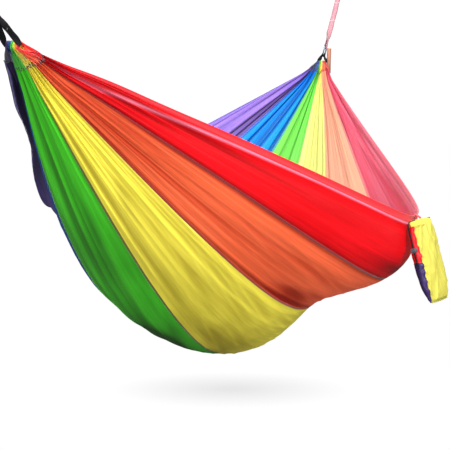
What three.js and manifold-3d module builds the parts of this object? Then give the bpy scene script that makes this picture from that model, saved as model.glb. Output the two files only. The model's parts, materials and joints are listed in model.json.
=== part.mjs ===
// Gathered-end camping hammock, hung at rest between two anchors, with its stuff sack.
// Millimetres, +Z up. The working frame has its origin at the middle of the ridge line
// (the straight line between the two gathered ends), +X along the ridge from the "near"
// end to the "far" end, and -Y towards the red edge. At the end everything is shifted so
// that the origin lies under the middle of the whole, level with its lowest point.
import * as THREE from 'three';
import { mergeVertices } from 'three/addons/utils/BufferGeometryUtils.js';
import Module from 'manifold-3d';

const wasm = await Module();
wasm.setup();

// ---------------------------------------------------------------- driving dimensions
const RIDGE = 2500;               // gathered end to gathered end
const HALF_RIDGE = RIDGE / 2;
const PANEL_T = 2;                // thickness of the cloth
const SEAM_GAP = 0.6;             // gap between neighbouring panels at a seam
const SIDE_INSET = 4;             // the two panels of each side lap inside the middle two
const PANEL_END = 0.945;          // panels stop at this fraction of the half ridge
const PANEL_EASE = Math.PI / 2 * 0.92; // crowds the cloth's stations towards its ends

// Seven lengthwise seam lines, red edge to purple edge. Each hangs in a near-plane through
// the ridge: angle from straight down, depth at mid-length, how square the bend is towards
// the near and far ends, and how much the plane turns along the length.
const ANGLE = [-53.3, -39.6, -22.3, -3.8, 16.1, 31.2, 50.7];
const DEPTH = [762, 801, 807, 882, 800, 681, 701];
const BEND_NEAR = [0.136, 0.228, 0.293, 0.404, 0.462, 0.191, 0.089];
const BEND_FAR = [0.337, 0.186, 0.279, 0.257, 0.213, 0.141, 0.077];
const TURN = [5.2, 2.8, -0.2, -1.1, -6.7, -0.9, -1.3];
const LAST_SEAM = ANGLE.length - 1;

const rad = (degrees) => degrees * Math.PI / 180;
const RISE_NEAR = 38;             // slope of the suspension at each end, degrees
const RISE_FAR = 46;
const RUN_FAR = 560;              // gathered end to swing axis along the far suspension
const SWING_H = RUN_FAR * Math.sin(rad(RISE_FAR));
const RUN_NEAR = SWING_H / Math.sin(rad(RISE_NEAR));

// sign: direction along X; clip: gathered end to the carabiner's lower end
const ENDS = [
  { side: 'near', sign: -1, rise: RISE_NEAR, run: RUN_NEAR, clip: 77 },
  { side: 'far', sign: 1, rise: RISE_FAR, run: RUN_FAR, clip: 36 }, // loop drawn up short
];
const LOOP_W = 14;                // end-loop webbing
const LOOP_T = 2.5;
const BIGHT_R = 3.6;              // inside radius of a webbing bight on the carabiner's rod

// ---------------------------------------------------------------- helpers
const vec = (x, y, z) => new THREE.Vector3(x, y, z);
const lerp = (from, to, share) => from + (to - from) * share;
const smooth = (value) => {
  const share = Math.min(1, Math.max(0, value));
  return share * share * (3 - 2 * share);
};
const list = (count, make) => Array.from({ length: count }, (_, i) => make(i));
// index of a unit box's vertex along a side cut into count segments
const station = (x, count) => Math.round((x + 0.5) * count);
// the same points in reverse order, with the second coordinate negated
const mirrored = (points) => points.slice().reverse().map(([a, b]) => [a, -b]);

// Catmull-Rom through the seven seam values
function along(table, seam) {
  const last = table.length - 1;
  const i = Math.min(last - 1, Math.max(0, Math.floor(seam)));
  const f = seam - i;
  const here = table[i];
  const next = table[i + 1];
  const before = i > 0 ? table[i - 1] : 2 * here - next;
  const after = i < last - 1 ? table[i + 2] : 2 * next - here;
  return 0.5 * (2 * here + (next - before) * f
    + (2 * before - 5 * here + 4 * next - after) * f * f
    + (3 * here - before - 3 * next + after) * f * f * f);
}

// share of the full depth at a reach of -1..1; a larger bend is rounder
function sag(reach, bend) {
  const edge = Math.sqrt(1 + bend * bend);
  return (edge - Math.sqrt(reach * reach + bend * bend)) / (edge - bend);
}

// point of the hanging cloth: reach = -1..1 along the ridge, seam = 0..6 across the seams
function cloth(reach, seam, inset = 0) {
  const bend = along(reach < 0 ? BEND_NEAR : BEND_FAR, seam);
  const depth = along(DEPTH, seam) * sag(reach, bend) - inset;
  const angle = rad(along(ANGLE, seam) + along(TURN, seam) * reach);
  return vec(HALF_RIDGE * reach, depth * Math.sin(angle), -depth * Math.cos(angle));
}

// normal of the cloth towards the ridge line, flattened into the YZ plane
function clothNormal(reach, seam) {
  const h = 1e-3;
  const lengthwise = cloth(reach + h, seam).sub(cloth(reach - h, seam));
  const across = cloth(reach, Math.min(LAST_SEAM, seam + h))
    .sub(cloth(reach, Math.max(0, seam - h)));
  const normal = lengthwise.cross(across).normalize();
  const point = cloth(reach, seam);
  if (normal.dot(vec(0, -point.y, -point.z)) < 0) normal.negate();
  normal.x = 0;
  return normal.normalize();
}

// closed indexed geometry, outward faces, from any closed three.js geometry
function tidy(geometry) {
  geometry.deleteAttribute('normal');
  geometry.deleteAttribute('uv');
  const merged = mergeVertices(geometry, 1e-4);
  const position = merged.attributes.position;
  const index = merged.index.array;
  const kept = [];
  let volume = 0;
  for (let i = 0; i < index.length; i += 3) {
    const face = [index[i], index[i + 1], index[i + 2]];
    if (new Set(face).size < 3) continue;
    kept.push(...face);
    const [a, b, c] = face.map((k) => vec().fromBufferAttribute(position, k));
    volume += a.dot(b.cross(c));
  }
  if (volume < 0) {
    for (let i = 0; i < kept.length; i += 3) [kept[i], kept[i + 1]] = [kept[i + 1], kept[i]];
  }
  merged.setIndex(kept);
  merged.computeVertexNormals();
  return merged;
}

// move every vertex of a geometry by a function
function mapped(geometry, move) {
  const position = geometry.attributes.position;
  for (let i = 0; i < position.count; i++) {
    const point = move(position.getX(i), position.getY(i), position.getZ(i));
    position.setXYZ(i, point.x, point.y, point.z);
  }
  return tidy(geometry);
}
const unitBox = (...segments) => new THREE.BoxGeometry(1, 1, 1, ...segments);

// split the quads of a box's back face along the same diagonal as its front face
function sameDiagonals(box) {
  const { start, count } = box.groups[5];
  const index = box.index.array;
  for (let i = start; i < start + count; i += 6) {
    const [a, b, d, , c] = index.slice(i, i + 6);
    index.set([a, b, c, a, c, d], i);
  }
  return box;
}

// closed webbing loop through points [a, b] in the plane of axisA and axisB, its width
// along axisW; a torus supplies the mesh, its tube's four corners becoming the section's
function loopBand(points, origin, [axisA, axisB, axisW], width, thick) {
  const n = points.length;
  const ringR = 10;
  const outward = (i) => {
    const [fromA, fromB] = points[(i + n - 1) % n];
    const [toA, toB] = points[(i + 1) % n];
    const run = new THREE.Vector2(toA - fromA, toB - fromB).normalize();
    return [run.y, -run.x];
  };
  return mapped(new THREE.TorusGeometry(ringR, 1, 4, n), (x, y, z) => {
    const i = ((Math.round(Math.atan2(y, x) / (2 * Math.PI) * n) % n) + n) % n;
    const tubeAngle = Math.atan2(z, Math.hypot(x, y) - ringR);
    const corner = (Math.round(tubeAngle / (Math.PI / 2)) + 4) % 4;
    const [outA, outB] = outward(i);
    const offset = (corner < 2 ? 0.5 : -0.5) * thick;
    const sideways = (corner === 0 || corner === 3 ? -0.5 : 0.5) * width;
    return origin.clone()
      .addScaledVector(axisA, points[i][0] + outA * offset)
      .addScaledVector(axisB, points[i][1] + outB * offset)
      .addScaledVector(axisW, sideways);
  });
}

// round rod along a list of points
function rod(points, dia, sides, steps) {
  const section = new THREE.Shape(list(sides, (i) => {
    const angle = 2 * Math.PI * i / sides;
    return new THREE.Vector2(dia / 2 * Math.cos(angle), dia / 2 * Math.sin(angle));
  }));
  section.closePath();
  const extrudePath = new THREE.CatmullRomCurve3(points, false, 'centripetal');
  return tidy(new THREE.ExtrudeGeometry(section, { steps, extrudePath, bevelEnabled: false }));
}

// coil spring of thin wire about a line along X
const SPRING_WIRE = 0.6;
function spring({ x, z, length, radius, intervals, perTurn, steps }) {
  const coil = list(intervals + 1, (i) => {
    const angle = 2 * Math.PI * i / perTurn;
    const y = radius * Math.cos(angle);
    return vec(x + length * i / intervals, y, z + radius * Math.sin(angle));
  });
  return rod(coil, SPRING_WIRE, 4, steps);
}

const block = (size, x, y, z) => new THREE.BoxGeometry(...size).translate(x, y, z);
function cylinder(axis, { dia, length }, x, z, sides) {
  const geometry = new THREE.CylinderGeometry(dia / 2, dia / 2, length, sides);
  if (axis === 'x') geometry.rotateZ(Math.PI / 2);
  return geometry.translate(x, 0, z);
}

function toSolid(geometry) {
  const clean = tidy(geometry);
  return new wasm.Manifold(new wasm.Mesh({
    numProp: 3,
    vertProperties: new Float32Array(clean.attributes.position.array),
    triVerts: new Uint32Array(clean.index.array),
  }));
}
function fromSolid(solid) {
  const mesh = solid.getMesh();
  const geometry = new THREE.BufferGeometry();
  const vertices = new Float32Array(mesh.vertProperties);
  geometry.setAttribute('position', new THREE.BufferAttribute(vertices, 3));
  geometry.setIndex(Array.from(mesh.triVerts));
  return geometry;
}
const cut = (solid, geometry) => solid.subtract(toSolid(geometry));
const join = (solid, geometry) => solid.add(toSolid(geometry));

// ---------------------------------------------------------------- materials and group
const fabric = (color) => new THREE.MeshStandardMaterial({
  color, roughness: 0.55, metalness: 0, side: THREE.DoubleSide,
});
const hard = (color, roughness, metalness) => new THREE.MeshStandardMaterial({
  color, roughness, metalness,
});
const MAT = {
  red: fabric(0xd8141f),
  orange: fabric(0xf0603a),
  yellow: fabric(0xe6dc2c),
  green: fabric(0x4fb02c),
  blue: fabric(0x1e78d8),
  purple: fabric(0x5a3c9c),
  black: fabric(0x141418),
  strap: fabric(0xe6b4b0),
  steel: hard(0x3a4252, 0.3, 0.9),
  bright: hard(0xb8bcc2, 0.3, 1),
  plastic: hard(0x15181a, 0.45, 0),
};

const hammock = new THREE.Group();
function add(name, geometry, material) {
  const mesh = new THREE.Mesh(geometry, material);
  mesh.name = name;
  hammock.add(mesh);
}

// ---------------------------------------------------------------- six cloth panels
const PANELS = ['red', 'orange', 'yellow', 'green', 'blue', 'purple'];

function panel(k) {
  const lengthwise = 28;
  const crosswise = 3;
  const inset = (k <= 1 || k >= 4) ? SIDE_INSET : 0;
  return mapped(sameDiagonals(unitBox(lengthwise, crosswise, 1)), (x, y, z) => {
    const even = 2 * station(x, lengthwise) / lengthwise - 1;
    const reach = PANEL_END * Math.sin(even * PANEL_EASE) / Math.sin(PANEL_EASE);
    const width = cloth(reach, k).distanceTo(cloth(reach, k + 1));
    const gap = SEAM_GAP / 2 / width;
    const seam = k + gap + (1 - 2 * gap) * station(y, crosswise) / crosswise;
    return cloth(reach, seam, inset).addScaledVector(clothNormal(reach, seam), z * PANEL_T);
  });
}
PANELS.forEach((name, k) => add('panel_' + name, panel(k), MAT[name]));

// ---------------------------------------------------------------- frame of one end
// Origin at the gathered end: up along the suspension, level along Y, and over across the
// suspension in the XZ plane. Left-handed at the near end; tidy turns the faces right.
function endFrame({ sign, rise }) {
  const slope = rad(rise);
  const apex = vec(sign * HALF_RIDGE, 0, 0);
  const up = vec(sign * Math.cos(slope), 0, Math.sin(slope));
  const level = vec(0, 1, 0);
  const over = vec(-sign * Math.sin(slope), 0, Math.cos(slope));
  const matrix = new THREE.Matrix4().makeBasis(up, level, over).setPosition(apex);
  const at = (a, b) => apex.clone().addScaledVector(up, a).addScaledVector(level, b);
  const place = (geometry) => tidy(geometry.applyMatrix4(matrix));
  return { apex, up, level, over, at, place };
}

// ---------------------------------------------------------------- end sleeve
const SLEEVE_W = 26;              // bunched channel: across, through and beyond the loop
const SLEEVE_D = 24;
const SLEEVE_BEYOND = 9;
const SLEEVE_BEFORE = 8;          // full bunching starts this far short of the loop
const SLEEVE_START = PANEL_END + 0.0012; // just clear of the panels
const SLEEVE_T = PANEL_T + 0.4;   // thickness where it meets the panels
const SLOT = [LOOP_T + 1, 60, LOOP_W + 1.4];

// bunched end of the cloth, with a slot across it for the loop
function endSleeve({ sign }, { over, at, place }) {
  const lengthwise = 6;
  const crosswise = 12;
  const reach = sign * SLEEVE_START;
  const sleeve = mapped(unitBox(lengthwise, crosswise, 1), (x, y, z) => {
    const i = station(x, lengthwise);
    const f = station(y, crosswise) / crosswise;
    const seam = LAST_SEAM * f;
    const inset = SIDE_INSET * (1 - smooth(Math.min(f, 1 - f) * 8)) * 0.6;
    const share = Math.min(1, i / (lengthwise - 1));
    const ease = smooth(share);
    const bunched = at(i === lengthwise ? SLEEVE_BEYOND : -SLEEVE_BEFORE, (f - 0.5) * SLEEVE_W);
    const through = clothNormal(reach, seam).lerp(over, ease).normalize();
    return cloth(reach, seam, inset).lerp(bunched, share)
      .addScaledVector(through, z * lerp(SLEEVE_T, SLEEVE_D, ease));
  });
  return tidy(fromSolid(cut(toSolid(sleeve), place(block(SLOT, 0, 0, 0)))));
}

// ---------------------------------------------------------------- end loop
const LOOP_SPREAD = 17;           // half spacing of the loop's legs at the sleeve
const LOOP_CORNER_R = 4;
const LOOP_BIGHT_AT = 6.4;        // bight centre above the carabiner's lower end

// one closed band of webbing through the channel and over the carabiner
function endLoop({ clip }, { apex, up, level, over }) {
  const top = clip + LOOP_BIGHT_AT;
  const bightR = BIGHT_R + LOOP_T / 2;
  const straight = LOOP_SPREAD - LOOP_CORNER_R;
  const slope = Math.atan2(LOOP_SPREAD - bightR, top - LOOP_CORNER_R);
  const base = list(5, (i) => [0, lerp(-straight, straight, i / 4)]);
  const corner = list(4, (i) => {
    const angle = (Math.PI / 2 - slope) * (i + 1) / 4;
    return [
      LOOP_CORNER_R - LOOP_CORNER_R * Math.cos(angle),
      straight + LOOP_CORNER_R * Math.sin(angle),
    ];
  });
  const [legA, legB] = corner[3];
  const leg = list(5, (i) => [lerp(legA, top, (i + 1) / 6), lerp(legB, bightR, (i + 1) / 6)]);
  const bight = list(9, (i) => {
    const angle = Math.PI / 2 - Math.PI * i / 8;
    return [top + bightR * Math.cos(angle), bightR * Math.sin(angle)];
  });
  const flank = [...corner, ...leg];
  const points = [...base, ...flank, ...bight, ...mirrored(flank)];
  return loopBand(points, apex, [up, level, over], LOOP_W, LOOP_T);
}

// ---------------------------------------------------------------- carabiner
// In the end's frame; places are measured up from the carabiner's lower end.
const CARA_L = 60;
const CARA_W = 30;
const CARA_ROD = 6;
const CARA_R = CARA_W / 2 - CARA_ROD / 2;  // bend radius, and offset of the gate's axis
const GATE_PIVOT = 18;
const GATE_FROM = 15.8;
const GATE_TO = 43.2;
const NOSE_END = GATE_TO + 0.8;
const TONGUE_T = 2;
const FORK_GAP = TONGUE_T + 0.8;
const PIN_SIDES = 12;

const HINGE_SHOULDER = { size: [8, 10, 9], place: CARA_W / 2 + 2.9 };
const HINGE_TONGUE = { size: [9, TONGUE_T, 4.6], place: GATE_PIVOT - 2 };
const HINGE_FORK = { size: [12, FORK_GAP, 9], place: 16.6 };
const NOSE_CUT = { size: [6, 10, 9], place: NOSE_END - 3 };
const NOSE_TAB = { size: [6, TONGUE_T, 4.4], place: NOSE_END - 0.6 };
const NOSE_FORK = { size: [9, FORK_GAP, 9], place: 43.8 };
const TONGUE_BORE = { dia: 2.4, length: 8 };
const GATE_BORE = { dia: 2.3, length: 9 };
const RIVET = { dia: 1.7, length: 6.6 };
const SPRING_POCKET = { dia: 3.6, length: 11, place: 27.5 };
const SPRING_FROM = 23.2;
const GATE_SPRING = { length: 9, radius: 1.2, intervals: 30, perTurn: 6, steps: 40 };

const gateBlock = (clip, { size, place }) => block(size, clip + place, 0, CARA_R);
const pivotPin = (clip, pin) => cylinder('y', pin, clip + GATE_PIVOT, CARA_R, PIN_SIDES);

function carabinerBody(clip) {
  const low = clip + CARA_W / 2;
  const high = clip + CARA_L - CARA_W / 2;
  const onArc = (centre, angle) => vec(
    centre + CARA_R * Math.cos(angle), 0, CARA_R * Math.sin(angle),
  );
  const path = [
    vec(low - 1.4, 0, CARA_R),
    vec(low - 2.2, 0, CARA_R - 0.15),
    ...list(8, (i) => onArc(low, Math.PI / 2 + 0.3 + (Math.PI - 0.3) * (i + 1) / 8)),
    vec(lerp(low, high, 0.33), 0, -CARA_R),
    vec(lerp(low, high, 0.66), 0, -CARA_R),
    ...list(9, (i) => onArc(high, -Math.PI / 2 + (Math.PI - 0.05) * i / 8)),
  ];
  let body = toSolid(rod(path, CARA_ROD, 10, 40));
  body = cut(body, gateBlock(clip, HINGE_SHOULDER));
  body = join(body, gateBlock(clip, HINGE_TONGUE));
  body = cut(body, pivotPin(clip, TONGUE_BORE));
  body = cut(body, gateBlock(clip, NOSE_CUT));
  return fromSolid(join(body, gateBlock(clip, NOSE_TAB)));
}

function carabinerGate(clip) {
  const bar = { dia: CARA_ROD, length: GATE_TO - GATE_FROM };
  const middle = clip + (GATE_FROM + GATE_TO) / 2;
  let gate = toSolid(cylinder('x', bar, middle, CARA_R, PIN_SIDES));
  gate = cut(gate, gateBlock(clip, HINGE_FORK));
  gate = cut(gate, gateBlock(clip, NOSE_FORK));
  gate = cut(gate, pivotPin(clip, GATE_BORE));
  // the pocket opens into the hinge fork
  const pocketAt = clip + SPRING_POCKET.place;
  return fromSolid(cut(gate, cylinder('x', SPRING_POCKET, pocketAt, CARA_R, PIN_SIDES)));
}

const gateSpring = (clip) => spring({ x: clip + SPRING_FROM, z: CARA_R, ...GATE_SPRING });

// ---------------------------------------------------------------- tree strap
const STRAP_W = 20;
const STRAP_W_CLIP = 14;          // narrowed at the carabiner
const STRAP_T = 1.6;
const STRAP_POCKET = 100;         // bartack to bartack
const STRAP_LOW = 44.6;           // lowest point, above the carabiner's lower end
const STRAP_BIGHT = 53.6;         // widest point of the bight, from the same end
const STRAP_JOIN = 46;            // the bight closes and the pockets start this far above it
const STRAP_SHORT = 6;            // stops this far short of the swing axis
const PLY_GAP = STRAP_T / 2 + 0.5; // half spacing of the closed plies
const PLY_OPEN = BIGHT_R + STRAP_T / 2;
const POCKET_BULGE = 3.2;
const STRAP_STEPS = 44;

// One ply, facing -1 for the straight back and 1 for the one sewn on in pockets. The strap
// makes a quarter turn above the carabiner.
function strapPly({ run, clip }, { level, over, at }, facing) {
  const low = clip + STRAP_LOW;
  const widest = clip + STRAP_BIGHT;
  const top = run - STRAP_SHORT;
  const fine = 0.3;               // share of the steps spent on the bight
  const placeAt = (s) => (s < fine
    ? lerp(low, widest + 50, s / fine)
    : lerp(widest + 50, top, (s - fine) / (1 - fine)));
  const halfGap = (rise) => (rise < 0
    ? lerp(PLY_GAP, PLY_OPEN, Math.sqrt(Math.max(0, 1 - (rise / (widest - low)) ** 2)))
    : lerp(PLY_OPEN, PLY_GAP, smooth(rise / STRAP_JOIN)));
  const pocket = (rise) => {
    const count = (rise - STRAP_JOIN) / STRAP_POCKET;
    if (count <= 0) return 0;
    return POCKET_BULGE * Math.sin(Math.PI * (count - Math.floor(count))) ** 2;
  };
  return mapped(unitBox(STRAP_STEPS, 2, 1), (x, y, z) => {
    const place = placeAt(station(x, STRAP_STEPS) / STRAP_STEPS);
    const rise = place - widest;
    const turn = smooth((rise - 20) / 210) * Math.PI / 2;
    const wide = over.clone().multiplyScalar(Math.cos(turn))
      .addScaledVector(level, Math.sin(turn));
    const flat = level.clone().multiplyScalar(Math.cos(turn))
      .addScaledVector(over, -Math.sin(turn));
    const offset = facing * halfGap(rise) + (facing > 0 ? pocket(rise) : 0);
    const width = lerp(STRAP_W_CLIP, STRAP_W, smooth((rise - 8) / 60));
    return at(place, 0)
      .addScaledVector(flat, offset)
      .addScaledVector(wide, y * width)
      .addScaledVector(flat, z * STRAP_T);
  });
}

const TAIL_L = 96;
const TAIL_W = 16;
const TAIL_TOP = 43;              // above the carabiner's lower end
const TAIL_ASIDE = 16;            // beside the carabiner

// free last pocket of the strap, hanging beside the carabiner: on the red edge's side at
// the far end, on the purple edge's side at the near end
function strapTail({ sign, clip }, { at }) {
  const count = 20;
  const points = list(count, (i) => {
    const angle = 2 * Math.PI * i / count;
    const drop = (1 - Math.cos(angle)) / 2;   // 0 at the top, 1 at the bottom
    return [-TAIL_L * drop, 3.0 * Math.sin(angle) * (0.35 + 1.3 * drop)];
  });
  const axes = [vec(0, 0, 1), vec(sign, 0, 0), vec(0, 1, 0)];
  return loopBand(points, at(clip + TAIL_TOP, -sign * TAIL_ASIDE), axes, TAIL_W, STRAP_T);
}

// ---------------------------------------------------------------- anchor eye
const EYE_L = 84;
const EYE_H = 22;
const EYE_W = 24;
const EYE_T = 3;
const EYE_HALF = EYE_H / 2 - EYE_T / 2;
const EYE_END = EYE_L - EYE_T / 2;
// upper half of the eye's middle line: [beyond the swing axis, above it]
const EYE_UPPER = [
  [4, 2.0], [14, 3.2], [26, 6.2], [38, EYE_HALF - 1],
  [50, EYE_HALF], [62, EYE_HALF], [EYE_END - 3, EYE_HALF], [EYE_END, EYE_HALF - 3],
];

// eye lying level beyond the swing axis, square outer end
function anchorEye({ sign, run }, { at }) {
  const axes = [vec(sign, 0, 0), vec(0, 0, 1), vec(0, 1, 0)];
  return loopBand([...EYE_UPPER, ...mirrored(EYE_UPPER)], at(run, 0), axes, EYE_W, EYE_T);
}

// ---------------------------------------------------------------- each end
for (const end of ENDS) {
  const { side, clip } = end;
  const frame = endFrame(end);
  add('end_sleeve_' + side, endSleeve(end, frame), MAT.black);
  add('end_loop_' + side, endLoop(end, frame), MAT.black);
  add('carabiner_' + side, frame.place(carabinerBody(clip)), MAT.steel);
  add('gate_' + side, frame.place(carabinerGate(clip)), MAT.steel);
  add('gate_rivet_' + side, frame.place(pivotPin(clip, RIVET)), MAT.bright);
  add('gate_spring_' + side, frame.place(gateSpring(clip)), MAT.bright);
  add('strap_back_' + side, strapPly(end, frame, -1), MAT.strap);
  add('strap_loops_' + side, strapPly(end, frame, 1), MAT.strap);
  add('strap_tail_' + side, strapTail(end, frame), MAT.strap);
  add('anchor_eye_' + side, anchorEye(end, frame), MAT.strap);
}

// ---------------------------------------------------------------- stuff sack on the red edge
// Sack frame: x along its width, -y outwards from the hammock, z up from the mouth.
const SACK_W = 140;
const SACK_H = 232;
const SACK_T = 3;
const SACK_DROP = 16;             // mouth of the sack below the hammock's edge
const SACK_OUT = 12;              // mouth of the sack outside the hammock's edge
const SACK_YAW = -14;
const SACK_LEAN = -16;
// the back is the fuller side; a higher power is squarer across the width
const FRONT = { sign: -1, depth: 17, power: 2.6 };
const BACK = { sign: 1, depth: 27, power: 4 };
const SACK_SPLIT = -SACK_H * 0.5; // seam between the back's two colours
const SPLIT_GAP = 0.3;            // each side of that seam

const edge = cloth(0, 0, SIDE_INSET);
const sackMatrix = new THREE.Matrix4()
  .makeTranslation(edge.x, edge.y - SACK_OUT, edge.z - SACK_DROP)
  .multiply(new THREE.Matrix4().makeRotationFromEuler(
    new THREE.Euler(rad(SACK_LEAN), 0, rad(SACK_YAW), 'ZYX'),
  ));
const onSack = (geometry) => tidy(geometry.applyMatrix4(sackMatrix));

// distance of a wall's middle surface from the sack's middle plane
function bulge(x, z, { depth, power }) {
  const across = 1 - Math.abs(x / (SACK_W / 2)) ** power;
  const down = Math.sin(Math.PI * ((-z / SACK_H) * 0.86 + 0.10)) ** 0.7;
  return SACK_T / 2 + 0.3 + depth * Math.sqrt(across) * down;
}

function sackWall(face, top, bottom, rows) {
  return mapped(unitBox(8, 1, rows), (x, y, z) => {
    const height = lerp(bottom, top, station(z, rows) / rows);
    const taper = 1 - 0.10 * smooth((-height - SACK_H * 0.82) / (SACK_H * 0.18))
      - 0.12 * (1 - smooth(-height / 40));
    const out = face.sign * bulge(x * SACK_W, height, face) + y * SACK_T;
    return vec(x * SACK_W * taper, out, height);
  });
}

// tab from the hammock's edge over the sack's mouth
const TAB = [24, 2, 13];
const sackTab = () => tidy(block(TAB, edge.x, edge.y - 6.5, edge.z - 3.5));

const CORD_D = 2.4;
const STRAND_X = -SACK_W / 2 - 13; // the two hanging strands, beside the sack
const STRAND_GAP = 2.6;
const STRAND_Y = STRAND_GAP / 2 + 0.1;
const CORD_Z = 4;                 // height of the cord round the mouth
const CORD_TURN_X = SACK_W * 0.44;

// up one strand, round the mouth, down the other strand
function drawcord() {
  const mouth = bulge(0, 0, FRONT) - 1;
  const half = [
    ...[-112, -80, -40, -12].map((z) => vec(STRAND_X, -STRAND_Y, z)),
    vec(STRAND_X + 6, -STRAND_GAP - 1, 1.5),
    vec(STRAND_X + 20, -8, CORD_Z),
    ...[-30, 0, 30].map((x) => vec(x, -mouth, CORD_Z)),
    vec(CORD_TURN_X - 6, -8, CORD_Z),
  ];
  const back = half.slice().reverse().map(({ x, y, z }) => vec(x, -y, z));
  return rod([...half, vec(CORD_TURN_X + 1, 0, CORD_Z), ...back], CORD_D, 6, 72);
}

// cord lock, its axis along x; places are measured from the strands
const LOCK_Z = -78;
const LOCK_SIDES = 20;
const BARREL = { dia: 14, length: 19, place: 1.5 };
const BARREL_BORE = { dia: 10, length: 17.5, place: BARREL.place - 1.8 };
const BARREL_SLOT = { size: [3.6, 6.6, 30], place: 0 };
const PLUNGER = { dia: 9.2, length: 15.5, place: -4.75 };
const PLUNGER_SLOT = { size: [6.7, 6.6, 30], place: -1.75 };
const LOCK_SPRING_FROM = 6.7;
const LOCK_SPRING = { length: 1.3, radius: 3.2, intervals: 18, perTurn: 9, steps: 36 };

const lockRound = (part) => cylinder('x', part, STRAND_X + part.place, LOCK_Z, LOCK_SIDES);
const lockSlot = ({ size, place }) => block(size, STRAND_X + place, 0, LOCK_Z);

function lockBarrel() {
  const barrel = cut(toSolid(lockRound(BARREL)), lockRound(BARREL_BORE));
  return fromSolid(cut(barrel, lockSlot(BARREL_SLOT)));
}
const lockPlunger = () => fromSolid(cut(toSolid(lockRound(PLUNGER)), lockSlot(PLUNGER_SLOT)));
const lockSpring = () => spring({ x: STRAND_X + LOCK_SPRING_FROM, z: LOCK_Z, ...LOCK_SPRING });

add('sack_front', onSack(sackWall(FRONT, 0, -SACK_H, 10)), MAT.yellow);
add('sack_back_red', onSack(sackWall(BACK, 0, SACK_SPLIT + SPLIT_GAP, 5)), MAT.red);
add('sack_back_purple', onSack(sackWall(BACK, SACK_SPLIT - SPLIT_GAP, -SACK_H, 5)), MAT.purple);
add('sack_tab', sackTab(), MAT.red);
add('drawcord', onSack(drawcord()), MAT.black);
add('cord_lock_barrel', onSack(lockBarrel()), MAT.plastic);
add('cord_lock_plunger', onSack(lockPlunger()), MAT.plastic);
add('cord_lock_spring', onSack(lockSpring()), MAT.bright);

// ---------------------------------------------------------------- origin under the hammock
hammock.updateMatrixWorld(true);
const { min, max } = new THREE.Box3().setFromObject(hammock, true);
const shift = vec(-(min.x + max.x) / 2, -(min.y + max.y) / 2, -min.z);
hammock.position.copy(shift);
hammock.userData.ridge = shift.toArray();
export default hammock;
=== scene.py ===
# A striped parachute-nylon hammock, hung by a tree strap at each end, with its stuff sack
# on one edge. It lies along X: the near end is at -X, the far end at +X. The near side
# (red) is at -Y, the far side (purple) at +Y, and +Z is up.
# Geometry is in millimetres from the middle of the ridge line, which is the pivot of the
# joint near_side_close. Places on the cloth are (along, across): along runs -1..1 from
# the near end to the far end, across runs 0..6 over the six stripes from the red edge.
import json
import math

import bmesh
import bpy
import numpy as np
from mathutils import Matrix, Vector


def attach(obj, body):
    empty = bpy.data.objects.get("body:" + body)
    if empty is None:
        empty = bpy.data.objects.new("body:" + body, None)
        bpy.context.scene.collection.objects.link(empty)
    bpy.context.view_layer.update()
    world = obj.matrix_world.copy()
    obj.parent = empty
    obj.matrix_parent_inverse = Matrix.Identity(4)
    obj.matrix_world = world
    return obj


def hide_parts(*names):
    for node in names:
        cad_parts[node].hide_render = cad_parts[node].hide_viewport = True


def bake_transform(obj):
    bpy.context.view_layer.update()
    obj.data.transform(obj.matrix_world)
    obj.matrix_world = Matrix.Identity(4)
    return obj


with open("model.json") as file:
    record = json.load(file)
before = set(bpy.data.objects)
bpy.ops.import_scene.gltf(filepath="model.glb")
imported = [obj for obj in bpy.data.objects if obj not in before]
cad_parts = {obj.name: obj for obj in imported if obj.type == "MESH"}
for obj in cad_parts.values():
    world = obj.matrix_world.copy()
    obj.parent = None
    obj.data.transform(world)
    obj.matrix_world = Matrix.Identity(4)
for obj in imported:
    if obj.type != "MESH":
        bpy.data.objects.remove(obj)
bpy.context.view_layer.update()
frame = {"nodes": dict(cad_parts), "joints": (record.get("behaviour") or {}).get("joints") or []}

RIDGE_MIDDLE = np.array(
    [joint for joint in frame["joints"] if joint["name"] == "near_side_close"][0]["pos_m"], float)

# ---------------------------------------------------------------- driving dimensions
HALF = 1250.0            # half the ridge length
GATHER_FROM = 0.895      # along, where the cloth starts turning into the channel
PANEL_TO = 0.958         # along, where the stripes end at the channel's stitching
HEM_FOLD = 23.0          # long crease, in from each free edge
HEM_WIDTH = 20.0
SEAM_HALF = 3.2
STRIPE_UV_WIDTH = 0.27   # metres of UV across one stripe
UNDERSIDE_UV = 0.2       # metres the UV of an underside is moved across

# Section of the hanging cloth at the seven seam lines, across = 0..6.
ANGLE = np.array([-53.3, -39.6, -22.3, -3.8, 16.1, 31.2, 50.7])        # degrees from down
DEPTH = np.array([762, 801, 807, 882, 800, 681, 701.0])                # mm at mid length
BEND_NEAR = np.array([0.136, 0.228, 0.293, 0.404, 0.462, 0.191, 0.089])  # roundness of sag
BEND_FAR = np.array([0.337, 0.186, 0.279, 0.257, 0.213, 0.141, 0.077])
TURN = np.array([5.2, 2.8, -0.2, -1.1, -6.7, -0.9, -1.3])              # degrees, end to middle

# Each end, by its direction along X: -1 near, +1 far.
SIDES = {"near": -1, "far": 1}
STRAP_RISE = {-1: math.radians(38.0), 1: math.radians(46.0)}
CLIP_AT = {-1: 77.0, 1: 36.0}     # channel bar to carabiner
NOISE_SHIFT = {-1: 0.0, 1: 31.7}  # gives each end its own folds
FAR_RUN = 560.0                   # channel bar to the strap's swing axis
SWING_HEIGHT = FAR_RUN * math.sin(STRAP_RISE[1])
STRAP_RUN = {-1: SWING_HEIGHT / math.sin(STRAP_RISE[-1]), 1: FAR_RUN}

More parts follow.
